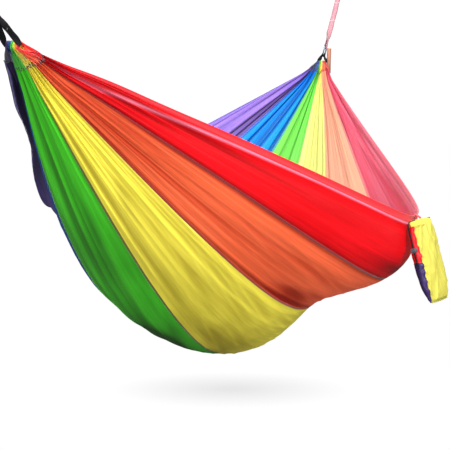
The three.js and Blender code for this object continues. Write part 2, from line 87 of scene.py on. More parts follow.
LOOP_WIDTH = 14.0
BAR_RADIUS = 4.0                  # corner of the loop round the gathered cloth
LOOP_SPREAD = 17.0                # half width of the loop at the cloth
ROD_RADIUS = 3.6                  # carabiner rod, with clearance
LOOP_TOP_RADIUS = ROD_RADIUS + 1.25
LOOP_TOP_AT = 6.4                 # top of the loop, beyond the clip's place
STRAP_THICK = 1.6
STRAP_WIDTH = 20.0
STRAP_WIDTH_AT_CLIP = 14.0
STRAP_ROD_AT = 53.6               # upper carabiner rod, beyond the clip's place
STRAP_LOW_AT = 44.6               # lowest point of the strap
STRAP_JOIN = 46.0                 # from the rod to where the plies meet
POCKET = 100.0                    # length of one strap pocket
TAIL_WIDTH = 16.0
TAIL_DROP = 96.0

SACK_WIDTH, SACK_HEIGHT = 140.0, 232.0
SACK_LEAN, SACK_YAW = math.radians(-16), math.radians(-14)
SACK_SPLIT = -SACK_HEIGHT * 0.5   # height of the red and purple cross seam
SACK_SEAM_X = -0.86               # the left seam lies a little way round the front

FLOOR_Z = -0.128                  # metres
FLOOR_HALF = 60.0
VIEW_HEADING = math.radians(18.932)
VIEW_PITCH = math.radians(-6.26)
CAMERA_AT = (-3650.2, -1284.7, -78.2)
CAMERA_LENS = 103.4232

# Mesh counts
STRIPE_ALONG = 320
STRIPE_ACROSS = 84
SEAM_SAMPLES = 420
CHANNEL_ACROSS = 6 * 44 + 1
SACK_ACROSS, SACK_ROWS = 72, 120

# Stripe colours (sRGB), from the near side to the far side; the outer blue and purple are
# darkened, partly with painted shade. inside is a paler lit copy painted on the inner face;
# deep is the colour of the painted shade in fold valleys and shade patches; lit_inside_mix and
# inside_fold_shade are the strengths of the inside colour and of its painted fold shade;
# crease is the colour of the painted highlight line along the red hem fold.
STRIPES = {
    "red": dict(color=(236, 4, 14), inside=(250, 96, 128), deep=(136, 2, 8),
                inside_fold_shade=0.28, translucency=0.36, crease=(255, 150, 178)),
    "orange": dict(color=(255, 103, 58), inside=(255, 186, 148), deep=(220, 34, 12)),
    "yellow": dict(color=(254, 236, 74), inside=(255, 255, 150), deep=(196, 166, 34)),
    "green": dict(color=(66, 204, 34), inside=(128, 228, 92), deep=(48, 92, 36),
                  inside_fold_shade=0.30),
    "blue": dict(color=(10, 66, 150), inside=(16, 138, 246), deep=(4, 22, 50),
                 lit_inside_mix=0.92, inside_fold_shade=0.40),
    "purple": dict(color=(50, 34, 98), inside=(146, 116, 214), deep=(13, 9, 24),
                   lit_inside_mix=0.92, inside_fold_shade=0.62),
}
NAMES = list(STRIPES)


# ---------------------------------------------------------------- numbers and points
def metres(points):
    """Millimetres from the middle of the ridge to metres in the scene."""
    return np.asarray(points, float) / 1000.0 + RIDGE_MIDDLE


def metre_tuple(x, y, z):
    return tuple(float(value) for value in metres((x, y, z)))


def smooth(share):
    share = np.clip(share, 0.0, 1.0)
    return share * share * (3 - 2 * share)


def lerp(start, end, share):
    return start + (end - start) * share


def bell(value, middle, width):
    return np.exp(-((value - middle) / width) ** 2)


def ridges(noise, power, depth=2.0):
    """Turns noise into sharp crests where it crosses zero."""
    return 1 - depth * np.abs(noise) ** power


def unit(vectors):
    vectors = np.asarray(vectors, float)
    return vectors / np.maximum(np.linalg.norm(vectors, axis=-1, keepdims=True), 1e-12)


def lengths(points):
    """Distance along a path at each of its points."""
    return np.r_[0, np.cumsum(np.linalg.norm(np.diff(points, axis=0), axis=1))]


def tangents(points, closed=False):
    if closed:
        return unit(np.roll(points, -1, 0) - np.roll(points, 1, 0))
    return unit(np.gradient(points, axis=0))


def catmull_rom(before, start, end, after, share):
    return 0.5 * (2 * start + (end - before) * share
                  + (2 * before - 5 * start + 4 * end - after) * share ** 2
                  + (3 * start - before - 3 * end + after) * share ** 3)


def spline(points, count, closed=False):
    """Catmull-Rom curve through points, count samples evenly by length."""
    points = np.asarray(points, float)
    if closed:
        control = np.vstack([points[-1], points, points[0], points[1]])
    else:
        control = np.vstack([2 * points[0] - points[1], points, 2 * points[-1] - points[-2]])
    curve = [catmull_rom(*control[i:i + 4], share)
             for i in range(len(control) - 3) for share in np.arange(0, 1, 1 / 16)]
    curve.append(curve[0] if closed else control[-2])
    curve = np.array(curve)
    distance = lengths(curve)
    wanted = np.linspace(0, distance[-1], count, endpoint=not closed)
    return np.stack([np.interp(wanted, distance, curve[:, k]) for k in range(3)], -1)


class Noise:
    """Smooth noise on a fixed lattice that repeats after SIZE steps."""
    SIZE = 64

    def __init__(self, seed):
        self.lattice = np.random.RandomState(seed).uniform(-1, 1, (self.SIZE, self.SIZE))

    def __call__(self, x, y):
        x = np.asarray(x, float)
        y = np.asarray(y, float)
        x_cell, y_cell = np.floor(x), np.floor(y)
        x_share, y_share = [f * f * f * (f * (f * 6 - 15) + 10)
                            for f in (x - x_cell, y - y_cell)]
        x_cell = x_cell.astype(int) % self.SIZE
        y_cell = y_cell.astype(int) % self.SIZE
        x_next, y_next = (x_cell + 1) % self.SIZE, (y_cell + 1) % self.SIZE
        low, high = [self.lattice[x_cell, row] * (1 - x_share)
                     + self.lattice[x_next, row] * x_share for row in (y_cell, y_next)]
        return low * (1 - y_share) + high * y_share


# Named after what each does on the cloth; the sack uses some of them again.
BUNCH_NOISE, CRISP_NOISE, LONG_NOISE, SOFT_NOISE, HOLLOW_NOISE, FINE_NOISE = [
    Noise(seed) for seed in (11, 23, 37, 41, 59, 67)]


# ---------------------------------------------------------------- the hanging cloth
def table_at(table, across):
    """Smooth value between the entries of a seam-line table."""
    across = np.asarray(across, float)
    i = np.clip(np.floor(across).astype(int), 0, 5)
    start, end = table[i], table[i + 1]
    before = np.where(i > 0, table[np.maximum(i - 1, 0)], 2 * start - end)
    after = np.where(i < 5, table[np.minimum(i + 2, 6)], 2 * end - start)
    return catmull_rom(before, start, end, after, across - i)


def sag(along, bend):
    """Share of the full depth: 0 at the ends, 1 in the middle."""
    full = np.sqrt(1 + bend * bend)
    return (full - np.sqrt(along * along + bend * bend)) / (full - bend)


def bare_cloth(along, across, outwards=0.0):
    """Point of the cloth before folds and swelling."""
    along, across = np.broadcast_arrays(np.asarray(along, float), np.asarray(across, float))
    bend = np.where(along < 0, table_at(BEND_NEAR, across), table_at(BEND_FAR, across))
    radius = table_at(DEPTH, across) * sag(along, bend) + outwards
    angle = np.radians(table_at(ANGLE, across) + table_at(TURN, across) * along)
    return np.stack([HALF * along, radius * np.sin(angle), -radius * np.cos(angle)], -1)


def patch_sum(patches, along, across):
    """Sum of soft patches (height, along, its width, across, its width)."""
    return sum(height * bell(along, *place[:2]) * bell(across, *place[2:])
               for height, *place in patches)


def folds(along, across):
    """Outward mm of the creases that run along the threads, deep where the cloth is
    gathered and fading towards the middle. Noise is read at (lattice steps per stripe,
    distance over mm per step)."""
    along, across = np.broadcast_arrays(np.asarray(along, float), np.asarray(across, float))
    total = np.zeros(along.shape)
    for way, shift in NOISE_SHIFT.items():
        from_end = HALF * (1 - way * along)
        fine = np.exp(-from_end / 420.0)
        far_side = smooth((across - 3.6) / 1.2)     # the far side holds deeper folds
        # the dense bunching at the channel
        phase = across * 5 + 0.9 * BUNCH_NOISE(across * 2.3 + shift, from_end / 260.0)
        height = 8.5 * np.exp(-from_end / 60.0) * np.sin(2 * np.pi * phase)
        # crisp creases, then finer ones
        crisp = CRISP_NOISE(across * 13.0 + shift, from_end / 700.0 + shift)
        height += 3.9 * fine * smooth((from_end - 30) / 260.0) * ridges(crisp, power=0.60)
        finest = FINE_NOISE(across * 23.0 + shift, from_end / 460.0 + shift)
        height += 1.9 * fine * smooth((from_end - 60) / 300.0) * ridges(finest, power=0.65)
        # long creases
        long_run = LONG_NOISE(across * 5.0 + 7 + shift, from_end / 1100.0 + shift)
        height += ((5.4 + 8.0 * far_side) * np.exp(-from_end / 900.0)
                   * ridges(long_run, power=0.72, depth=2.2))
        # broad soft folds
        height += ((5.0 + 9.0 * far_side) * np.exp(-from_end / 1000.0)
                   * SOFT_NOISE(across * 2.2 + shift, from_end / 1500.0))
        fade = smooth((1500 - from_end) / 700)
        total = total + fade * smooth(from_end / 60.0 + 0.42) * height
    # soft hollows low in the belly
    belly = bell(across, 3.2, 1.3) * bell(along, 0.0, 0.75)
    total = total + 5.0 * belly * HOLLOW_NOISE(across * 1.6 + 3, along * 2.2 + 5)
    # short slanting wrinkles pulled by the seams in the loaded part
    loaded = bell(across, 2.3, 1.2) * bell(along, -0.05, 0.5)
    slant = FINE_NOISE(across * 10.0 - along * 9.0, along * 5.0 + across * 1.5)
    total = total + 1.7 * loaded * ridges(slant, power=0.8)
    # a dent beside the orange and yellow seam
    return total + patch_sum([(-7.0, -0.17, 0.11, 1.80, 0.13)], along, across)


def fold_shade(along, across):
    """-1 in the valleys of the folds, +1 on their crests, seen from outside; drives the
    painted shade and highlight of the folds.
    """
    around = sum(folds(along, np.clip(across + step, 0, 6))
                 for step in (-0.21, -0.14, -0.07, 0.07, 0.14, 0.21)) / 6
    full_height = 3.6
    return np.clip((folds(along, across) - around) / full_height, -1, 1)


def mm_per_stripe(along, edge):
    """Millimetres of cloth per unit of across beside the free edge."""
    inner = edge + (0.06 if edge < 3 else -0.06)
    gap = np.linalg.norm(bare_cloth(along, inner) - bare_cloth(along, edge), axis=-1)
    return np.maximum(gap / 0.06, 40.0)


# Painted shade patches: strength, along, its width, across, its width.
PAINTED_SHADE_PATCHES = [
    (0.62, -0.165, 0.13, 1.93, 0.09), (0.42, -0.18, 0.06, 1.82, 0.09),
    (0.98, -0.05, 0.12, 0.80, 0.15), (0.40, -0.69, 0.03, 2.50, 0.07),
    (0.30, -0.66, 0.04, 2.62, 0.05), (0.30, -0.12, 0.42, 3.50, 0.30),
]
# Shade beside the two near-side seams: strength, across, width.
SEAM_SHADES = [(0.62, 1.03, 0.030), (0.45, 0.97, 0.030), (0.60, 1.955, 0.034)]


def painted_shade_at(along, across):
    """Painted shade, 0..1, where the cloth doubles under or lies in shade."""
    tone = patch_sum(PAINTED_SHADE_PATCHES, along, across)
    run = smooth((0.93 - np.abs(along)) / 0.12)
    for strength, seam, width in SEAM_SHADES:
        tone = tone + run * strength * bell(across, seam, width)
    # painted shade: the pleats close up towards the near end and the red side is painted darker
    # there
    streak = np.clip(0.62 + 0.55 * HOLLOW_NOISE(across * 7.5 + 3, along * 1.3), 0.2, 1.2)
    tone = tone + (0.62 * smooth((-along - 0.52) / 0.34)
                   * smooth((2.02 - across) / 0.10) * streak)
    # clouded shade under the belly
    belly = bell(across, 3.25, 0.9) * bell(along, -0.1, 0.55)
    cloud = (HOLLOW_NOISE(across * 2.6 + 9, along * 5.2 + 2)
             + 0.5 * SOFT_NOISE(across * 6.1, along * 9.0 + 4))
    tone = tone + belly * (0.42 + 0.60 * np.clip(cloud + 0.1, -0.6, 1))
    # the outer far side turns out of the light towards the near end
    tone = tone + 0.80 * smooth((across - 3.98) / 0.5) * smooth((-along - 0.22) / 0.26)
    return np.clip(tone, 0, 1)


def hem_roll(along, across):
    """The long crease just inside each free edge, and the hollow beside it."""
    roll = 0.0
    for crest, hollow, edge in ((5.5, 4.0, 0.0), (4.5, 3.0, 6.0)):
        inset = np.abs(across - edge) * mm_per_stripe(along, edge)
        roll = roll + (crest * bell(inset, HEM_FOLD, 8.0)
                       - hollow * bell(inset, HEM_FOLD + 22, 13.0))
    return smooth((1 - np.abs(along)) / 0.25) * roll


# Swelling (+) and drawing in (-): mm, along, its width, across, its width.
BILLOW_PATCHES = [
    (-19.0, 0.05, 0.36, 1.86, 0.42),
    (-17.0, 0.012, 0.062, 0.50, 0.42),    # pressed in behind the stuff sack
    (-7.0, -0.43, 0.22, 4.3, 0.6),
]
# The outer far side near the near end: mm, along, its width, across from, over.
FAR_SIDE_BILLOWS = [
    (13.0, -0.88, 0.10, 4.4, 1.2), (8.0, -0.76, 0.07, 4.4, 1.2), (-11.0, -0.52, 0.11, 4.5, 1.0),
]


def billow(along, across):
    """Each stripe swells a little between its seams; larger swellings lie on top."""
    share = across - np.floor(np.clip(across, 0, 5.999))
    swell = 4.0 * (4 * share * (1 - share)) * smooth((1 - np.abs(along)) / 0.5)
    for height, middle, width, start, over in FAR_SIDE_BILLOWS:
        swell = swell + height * bell(along, middle, width) * smooth((across - start) / over)
    # the red side's lower part hangs fuller
    swell = swell + (44.0 * bell(across, 0.72, 0.47) * bell(along, 0.08, 0.55)
                     * smooth(across / 0.5))
    return swell + patch_sum(BILLOW_PATCHES, along, across)


def bar_at(way, across):
    """Y where the cloth is gathered on the loop's bar."""
    return ((across / 6) ** (1.35 if way < 0 else 1.0) - 0.5) * 32.0


def surface(along, across, lift=0.0):
    """Point of the finished cloth; lift is mm outwards from it."""
    along, across = np.broadcast_arrays(np.asarray(along, float), np.asarray(across, float))
    height = folds(along, across) + hem_roll(along, across) + billow(along, across) + lift
    base = bare_cloth(along, across)
    step = 2e-3
    slope_along = bare_cloth(along + step, across) - bare_cloth(along - step, across)
    slope_across = (bare_cloth(along, np.minimum(across + step, 6))
                    - bare_cloth(along, np.maximum(across - step, 0)))
    normal = np.cross(slope_along, slope_across)
    normal[..., 0] = 0.0
    normal /= np.maximum(np.linalg.norm(normal, axis=-1, keepdims=True), 1e-9)
    radial = base * np.array([0, 1.0, 1.0])
    sign = np.sign((normal * radial).sum(-1, keepdims=True))
    sign[sign == 0] = 1
    points = base + normal * sign * height[..., None]
    for way in SIDES.values():
        gather = smooth((way * along - GATHER_FROM) / (1 - GATHER_FROM))
        points[..., 1] += gather * bar_at(way, across)
    # the taut near edge stands a little higher beside the near channel
    points[..., 2] += 4.5 * bell(along, -0.83, 0.085) * bell(across, 0.0, 0.8)
    return points


def ridge_samples(count):
    """Places along the cloth, closer together towards the ends."""
    even = np.linspace(-1, 1, count)
    return PANEL_TO * np.sin(even * np.pi / 2 * 0.93) / math.sin(np.pi / 2 * 0.93)


# ---------------------------------------------------------------- mesh helpers
def make(name, points, faces, uv):
    """Smooth-shaded mesh object from millimetre points, with one UV pair per point."""
    mesh = bpy.data.meshes.new(name)
    points = metres(np.asarray(points, float).reshape(-1, 3))
    mesh.from_pydata([tuple(p) for p in points], [], [tuple(int(i) for i in f) for f in faces])
    mesh.update()
    uv = np.asarray(uv, float).reshape(-1, 2)
    layer = mesh.uv_layers.new(name="UVMap")
    corner_points = np.zeros(len(mesh.loops), np.int32)
    mesh.loops.foreach_get("vertex_index", corner_points)
    layer.data.foreach_set("uv", uv[corner_points].astype(np.float32).ravel())
    mesh.polygons.foreach_set("use_smooth", [True] * len(mesh.polygons))
    obj = bpy.data.objects.new(name, mesh)
    bpy.context.scene.collection.objects.link(obj)
    return obj


def make_solid(name, points, faces, uv):
    """As make, with the faces of the closed mesh turned outwards."""
    obj = make(name, points, faces, uv)
    work = bmesh.new()
    work.from_mesh(obj.data)
    bmesh.ops.recalc_face_normals(work, faces=work.faces)
    work.to_mesh(obj.data)
    work.free()
    obj.data.update()
    return obj


def add_attribute(obj, name, values):
    attribute = obj.data.attributes.new(name, "FLOAT", "POINT")
    attribute.data.foreach_set("value", np.asarray(values, np.float32).ravel())


def uv_grid(u, v):
    return np.stack(np.broadcast_arrays(u, v), -1)


def grid_faces(rows, columns, close_rows=False, close_columns=False, flip=False):
    faces = []
    for i in range(rows if close_rows else rows - 1):
        for j in range(columns if close_columns else columns - 1):
            i2, j2 = (i + 1) % rows, (j + 1) % columns
            face = (i * columns + j, i2 * columns + j, i2 * columns + j2, i * columns + j2)
            faces.append(face[::-1] if flip else face)
    return faces


def ring_faces(rings, sides, closed=False):
    """Faces of a run of rings, capped at both ends unless it is closed."""
    faces = grid_faces(rings, sides, close_rows=closed, close_columns=True)
    if not closed:
        faces.append(tuple(range(sides))[::-1])
        faces.append(tuple((rings - 1) * sides + k for k in range(sides)))
    return faces


def oblong(width, thick, crown):
    """Rounded-rectangle section as (across, through) pairs, bulging by crown."""
    radius, steps = thick / 2, 4
    flat = width / 2 - radius
    section = []
    for side in (1, -1):
        for k in range(steps + 1):
            angle = -side * math.pi / 2 + math.pi * k / steps
            section.append((side * flat + radius * math.cos(angle), radius * math.sin(angle)))
        for k in range(1, steps):
            x = lerp(side * flat, -side * flat, k / steps)
            section.append((x, side * (radius + crown * (1 - (2 * x / width) ** 2))))
    return section


def sweep(name, path, wide, thin, width, thick, closed=False, crown=0.0):
    """Webbing: an oblong section carried along path. wide and thin are the directions of
    its width and thickness at each point."""
    path = np.asarray(path, float)
    count = len(path)
    widths = np.broadcast_to(np.asarray(width, float), (count,))
    distance = lengths(path)
    points, uv = [], []
    for i in range(count):
        section = oblong(widths[i], thick, crown)
        for x, y in section:
            points.append(path[i] + wide[i] * x + thin[i] * y)
            uv.append((distance[i] / 1000.0, x / 1000.0 + (UNDERSIDE_UV if y < 0 else 0.0)))
    return make_solid(name, points, ring_faces(count, len(section), closed), uv)


def tube(name, path, diameter, sides=12, closed=False):
    """Round cord along path, without twist."""
    path = np.asarray(path, float)
    count = len(path)
    forward = tangents(path, closed)
    reference = np.array([0, 0, 1.0]) if abs(forward[0][2]) < 0.8 else np.array([1.0, 0, 0])
    first = [unit(np.cross(forward[0], reference))]
    for i in range(1, count):
        first.append(unit(first[-1] - forward[i] * np.dot(first[-1], forward[i])))
    first = np.array(first)
    second = np.cross(forward, first)
    diameters = np.broadcast_to(np.asarray(diameter, float), (count,))
    distance = lengths(path)
    points, uv = [], []
    for i in range(count):
        for k in range(sides):
            angle = 2 * math.pi * k / sides
            spoke = first[i] * math.cos(angle) + second[i] * math.sin(angle)
            points.append(path[i] + spoke * diameters[i] / 2)
            uv.append((distance[i] / 1000.0, k / sides * math.pi * diameters[i] / 1000.0))
    return make_solid(name, points, ring_faces(count, sides, closed), uv)


def give(obj, material, slot):
    obj.data.materials.clear()
    obj.data.materials.append(material)


def fit(obj, material, slot, rides, replaces=None):
    """Material, the CAD piece it stands for, and the part it moves with."""
    give(obj, material, slot)
    if replaces:
        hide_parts(replaces)
    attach(obj, rides)


def hang(obj, across):
    """Bake a piece of the cloth where it stands; on the middle line, attach it to the canopy."""
    if across < 3:
        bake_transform(obj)
    elif across > 3:
        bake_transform(obj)
    else:
        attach(obj, "canopy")


# ---------------------------------------------------------------- colours and shader nodes
def linear(channel):
    channel /= 255.0
    return channel / 12.92 if channel <= 0.04045 else ((channel + 0.055) / 1.055) ** 2.4


def shade(color, gain=1.0, lift=0.0):
    """sRGB 0..255 to a linear colour, multiplied by gain and raised by lift."""
    return (*[linear(min(255, c * gain + lift)) for c in color], 1.0)


def towards_white(color, share, lift=0.0):
    return shade([c + (255 - c) * share + lift for c in color])


def grey(level):
    return (level, level, level, 1)


class Wire:
    """An output socket; arithmetic on it adds math nodes."""

    def __init__(self, shader, socket):
        self.shader = shader
        self.socket = socket

    def math(self, kind, second=0.0, third=None, clamp=False):
        return self.shader.math(kind, self, second, third, clamp)

    def __add__(self, other):
        return self.math("ADD", other)

    def __sub__(self, other):
        return self.math("SUBTRACT", other)

    def __rsub__(self, other):
        return self.shader.math("SUBTRACT", other, self)

    def __mul__(self, other):
        return self.math("MULTIPLY", other)

    def __truediv__(self, other):
        return self.math("DIVIDE", other)

    def __gt__(self, other):
        return self.math("GREATER_THAN", other)

    def __lt__(self, other):
        return self.math("LESS_THAN", other)

    def __abs__(self):
        return self.math("ABSOLUTE")

    def fitted(self, gain, offset, clamp=False):
        """gain times the value plus offset, in one node."""
        return self.math("MULTIPLY_ADD", gain, offset, clamp)

    def wave(self, period):
        """0..1 sine of a coordinate in metres."""
        return (self * (2 * math.pi / period)).math("SINE").fitted(gain=0.5, offset=0.5)


class Shader:
    """Builds the node tree of a material or world."""

    def __init__(self, owner, output="ShaderNodeOutputMaterial"):
        self.owner = owner
        owner.use_nodes = True
        self.tree = owner.node_tree
        self.tree.nodes.clear()
        self.end = self.tree.nodes.new(output)

    def feed(self, socket, value):
        if isinstance(value, Wire):
            self.tree.links.new(value.socket, socket)
        else:
            socket.default_value = value

    def node(self, kind, inputs={}, output=0, **settings):
        """Adds a node and returns one of its outputs."""
        node = self.tree.nodes.new(kind)
        for key, value in settings.items():
            setattr(node, key, value)
        for key, value in inputs.items():
            self.feed(node.inputs[key], value)
        return Wire(self, node.outputs[output])

    def math(self, kind, first, second=0.0, third=None, clamp=False):
        inputs = {0: first, 1: second}
        if third is not None:
            inputs[2] = third
        return self.node("ShaderNodeMath", inputs, operation=kind, use_clamp=clamp)

    def mix(self, factor, first, second):
        inputs = {0: factor, 6: first, 7: second}
        return self.node("ShaderNodeMix", inputs, output=2, data_type="RGBA")

    def brighten(self, color, factor):
        return self.node("ShaderNodeVectorMath", {0: color, 3: factor}, operation="SCALE")

    def ramp(self, factor, stops, interpolation="LINEAR"):
        wire = self.node("ShaderNodeValToRGB", {0: factor})
        ramp = wire.socket.node.color_ramp
        ramp.interpolation = interpolation
        while len(ramp.elements) > 1:
            ramp.elements.remove(ramp.elements[-1])
        ramp.elements[0].position, ramp.elements[0].color = stops[0]
        for position, color in stops[1:]:
            ramp.elements.new(position).color = color
        return wire

    def split(self, vector):
        outputs = self.node("ShaderNodeSeparateXYZ", {0: vector}).socket.node.outputs
        return [Wire(self, socket) for socket in outputs]

    def use_uv(self):
        """Read noise by UV; returns metres along and across."""
        self.place = self.node("ShaderNodeUVMap", uv_map="UVMap")
        return self.split(self.place)[:2]

    def use_object(self):
        """Read noise by position in the object."""
        self.place = self.node("ShaderNodeTexCoord", output="Object")

    def noise(self, scale=1.0, detail=3.0, roughness=0.5, stretch=None):
        place = self.place
        if stretch:
            place = self.node("ShaderNodeVectorMath", {0: place, 1: stretch},
                              operation="MULTIPLY")
        return self.node("ShaderNodeTexNoise", {
            "Scale": scale, "Detail": detail, "Roughness": roughness, "Vector": place})

    def bump(self, height, strength, distance, over=None):
        inputs = {"Strength": strength, "Distance": distance, "Height": height}
        if over is not None:
            inputs["Normal"] = over
        return self.node("ShaderNodeBump", inputs, output="Normal")

    def principled(self, color, roughness, normal, more={}):
        return self.node("ShaderNodeBsdfPrincipled", {
            "Base Color": color, "Roughness": roughness, "Normal": normal, **more})

    def mix_shader(self, factor, first, second):
        return self.node("ShaderNodeMixShader", {0: factor, 1: first, 2: second})

    def translucent(self, share, opaque, color):
        """Lets light through a thin cloth."""
        through = self.node("ShaderNodeBsdfTranslucent", {"Color": color})
        return self.mix_shader(share, opaque, through)

    def finish(self, surface_wire):
        self.feed(self.end.inputs["Surface"], surface_wire)
        return self.owner


def new_shader(name):
    return Shader(bpy.data.materials.new(name))


WEAVE = 0.0014    # period of the nylon weave, metres


# ---------------------------------------------------------------- materials
def painted_crease_highlight(shader, tone, color):
    """Painted highlight line along the hem fold, wandering a little."""
    inset = shader.node("ShaderNodeAttribute", output="Fac", attribute_name="hem_mm")
    wander = (shader.noise(detail=2.0, stretch=(1.6, 0.0, 1.0)) - 0.5) * 7.0
    half_width = 6.5
    off = abs((inset + wander) - HEM_FOLD) / half_width
    band = shader.math("SUBTRACT", 1.0, off, clamp=True).math("POWER", 1.4)
    vary = shader.noise(stretch=(5.0, 30.0, 1.0))
    strength = 0.85
    return shader.mix((band * strength) * vary.fitted(gain=1.2, offset=0.3), tone, shade(color))


def nylon(name, color, inside, translucency=0.27, roughness=0.42, lit_inside_mix=0.62,
          inside_fold_shade=0.22, deep=None, crease=None):
    """Thin parachute nylon: fine taffeta weave, long pulled yarns, a soft gloss. Its colour also
    carries painted light and shade: a paler lit inner face, painted shade in the fold valleys
    and shade patches, and painted highlights on the fold crests and along the crease.
    """
    shader = new_shader(name)
    u, v = shader.use_uv()
    bright = towards_white(color, 0.07)
    # slow variation of the dye
    dye = shader.noise(scale=2.2, detail=4.0, roughness=0.55, stretch=(1.2, 7.0, 1.0))
    tone = shader.mix(dye.fitted(gain=1.7, offset=-0.35, clamp=True), shade(color, 0.88), bright)
    # pulled yarns: very long thin streaks, partly painted sheen along the yarns
    streak = shader.noise(detail=2.0, roughness=0.6, stretch=(3.0, 420.0, 1.0))
    tone = shader.mix((streak - 0.5) * 0.30, tone, shade(color))
    yarn_and_sheen_streak = shader.noise(detail=4.0, roughness=0.62, stretch=(1.6, 105.0, 1.0))
    pulled = (yarn_and_sheen_streak - 0.5).fitted(gain=0.55, offset=1.0)
    tone = shader.brighten(tone, (streak - 0.5).fitted(gain=0.24, offset=pulled))
    # the weave
    warp, weft = u.wave(WEAVE), v.wave(WEAVE)
    weave = warp * weft + (1.0 - warp) * (1.0 - weft)
    tone = shader.brighten(tone, weave.fitted(gain=0.07, offset=0.965))
    # painted highlight along the red hem fold
    if crease:
        tone = painted_crease_highlight(shader, tone, crease)
    # inner face painted in the paler lit inside colour, for light falling on it and through the
    # cloth
    back = shader.node("ShaderNodeNewGeometry", output="Backfacing")
    tone = shader.mix(back, tone, shader.mix(lit_inside_mix, tone, shade(inside)))
    # painted shade in the valleys of the folds and painted highlight on their crests, on either
    # face
    outside_fold_shade = 0.20
    fold = shader.node("ShaderNodeAttribute", output="Fac", attribute_name="fold")
    crest = fold * back.fitted(gain=-2.0, offset=1.0)
    depth = back.fitted(gain=inside_fold_shade - outside_fold_shade, offset=outside_fold_shade)
    if deep:
        outer = 1.0 - back
        painted_valley_shade = (crest.math("MULTIPLY", -1.0, clamp=True) * 0.55) * outer
        tone = shader.mix(painted_valley_shade, tone, shade(deep))
        # painted shade from the tone attribute, mottled, mixed towards the deep colour on the
        # outer face
        painted_shade = shader.node("ShaderNodeAttribute", output="Fac", attribute_name="tone")
        mottle = shader.noise(scale=1.3, detail=4.0, stretch=(9.0, 22.0, 1.0))
        patchy = mottle.fitted(gain=0.5, offset=0.72)
        tone = shader.mix(painted_shade.math("MULTIPLY", patchy, clamp=True) * outer, tone,
                          shade(deep, 0.62))
    tone = shader.brighten(tone, crest.fitted(gain=depth, offset=1.0 - depth * 0.35))
    crinkle = shader.noise(scale=1.6, detail=6.0, roughness=0.62, stretch=(6.0, 38.0, 1.0))
    fine = shader.noise(roughness=0.6, stretch=(60.0, 160.0, 1.0))
    normal = shader.bump(crinkle, strength=0.30, distance=0.006)
    normal = shader.bump(fine, strength=0.16, distance=0.0012, over=normal)
    normal = shader.bump(weave, strength=0.22, distance=0.0003, over=normal)
    gloss = shader.principled(
        tone, crinkle.fitted(gain=0.22, offset=roughness - 0.11), normal,
        {"Specular IOR Level": 0.24, "Sheen Weight": 0.04, "Sheen Roughness": 0.35,
         "Sheen Tint": bright})
    return shader.finish(shader.translucent(translucency, gloss, tone))


def top_v(shader_v):
    """Whether a point is on the underside, and its v moved back onto the top's."""
    under = shader_v > UNDERSIDE_UV / 2
    return under, shader_v - under * UNDERSIDE_UV


def sewn(name, color, thread, rows, pitch=0.0036, gap=0.28, half=0.00042,
         translucency=0.2, inside=None):
    """Folded cloth with rows of stitching. rows are metres across, pitch is the stitch
    length, gap its bare share and half the thread's half width."""
    shader = new_shader(name)
    u, v = shader.use_uv()
    blotch = shader.noise(scale=1.5, detail=4.0, stretch=(8.0, 40.0, 1.0))
    tone = shader.mix(blotch, shade(color, 0.88), shade(color, 1.08))
    under, v = top_v(v)
    # the underside painted in the paler lit inside colour
    if inside:
        tone = shader.mix(under * 0.7, tone, shade(inside))
    stitches = None
    for row in rows:
        line = abs(v - row) < half
        stitches = line if stitches is None else stitches.math("MAXIMUM", line)
    stitches = stitches * ((u * (1 / pitch)).math("FRACT") > gap)
    tone = shader.mix(stitches, tone, shade(thread))
    # the cloth puckers between stitches
    normal = shader.bump(u.wave(pitch * 2.0), strength=0.45, distance=0.0007)
    relief = stitches + (u.wave(WEAVE) * v.wave(WEAVE)) * 0.25
    normal = shader.bump(relief, strength=0.5, distance=0.0004, over=normal)
    gloss = shader.principled(tone, blotch.fitted(gain=0.2, offset=0.45), normal,
                              {"Sheen Weight": 0.25})
    return shader.finish(shader.translucent(translucency, gloss, tone))


def gathered_nylon():
    """The bunched channel: stripe colours by position across, with painted shade in its
    crumples and painted light on them.
    """
    shader = new_shader("cloth_gathered")
    u, v = shader.use_uv()
    stops = [(k / 6 + 0.001, shade(STRIPES[name]["color"], 0.96))
             for k, name in enumerate(NAMES)]
    tone = shader.ramp(v, stops, "CONSTANT")
    crumple = shader.noise(scale=2.0, detail=5.0, stretch=(30.0, 26.0, 1.0))
    # painted shade in the crumples and painted light on them
    tone = shader.brighten(tone, crumple.fitted(gain=0.8, offset=0.62))
    normal = shader.bump(crumple, strength=0.5, distance=0.002)
    normal = shader.bump(u.wave(WEAVE) * v.wave(0.002), strength=0.25, distance=0.0003,
                         over=normal)
    gloss = shader.principled(tone, crumple.fitted(gain=0.3, offset=0.3), normal,
                              {"Sheen Weight": 0.35})
    return shader.finish(shader.translucent(0.28, gloss, tone))


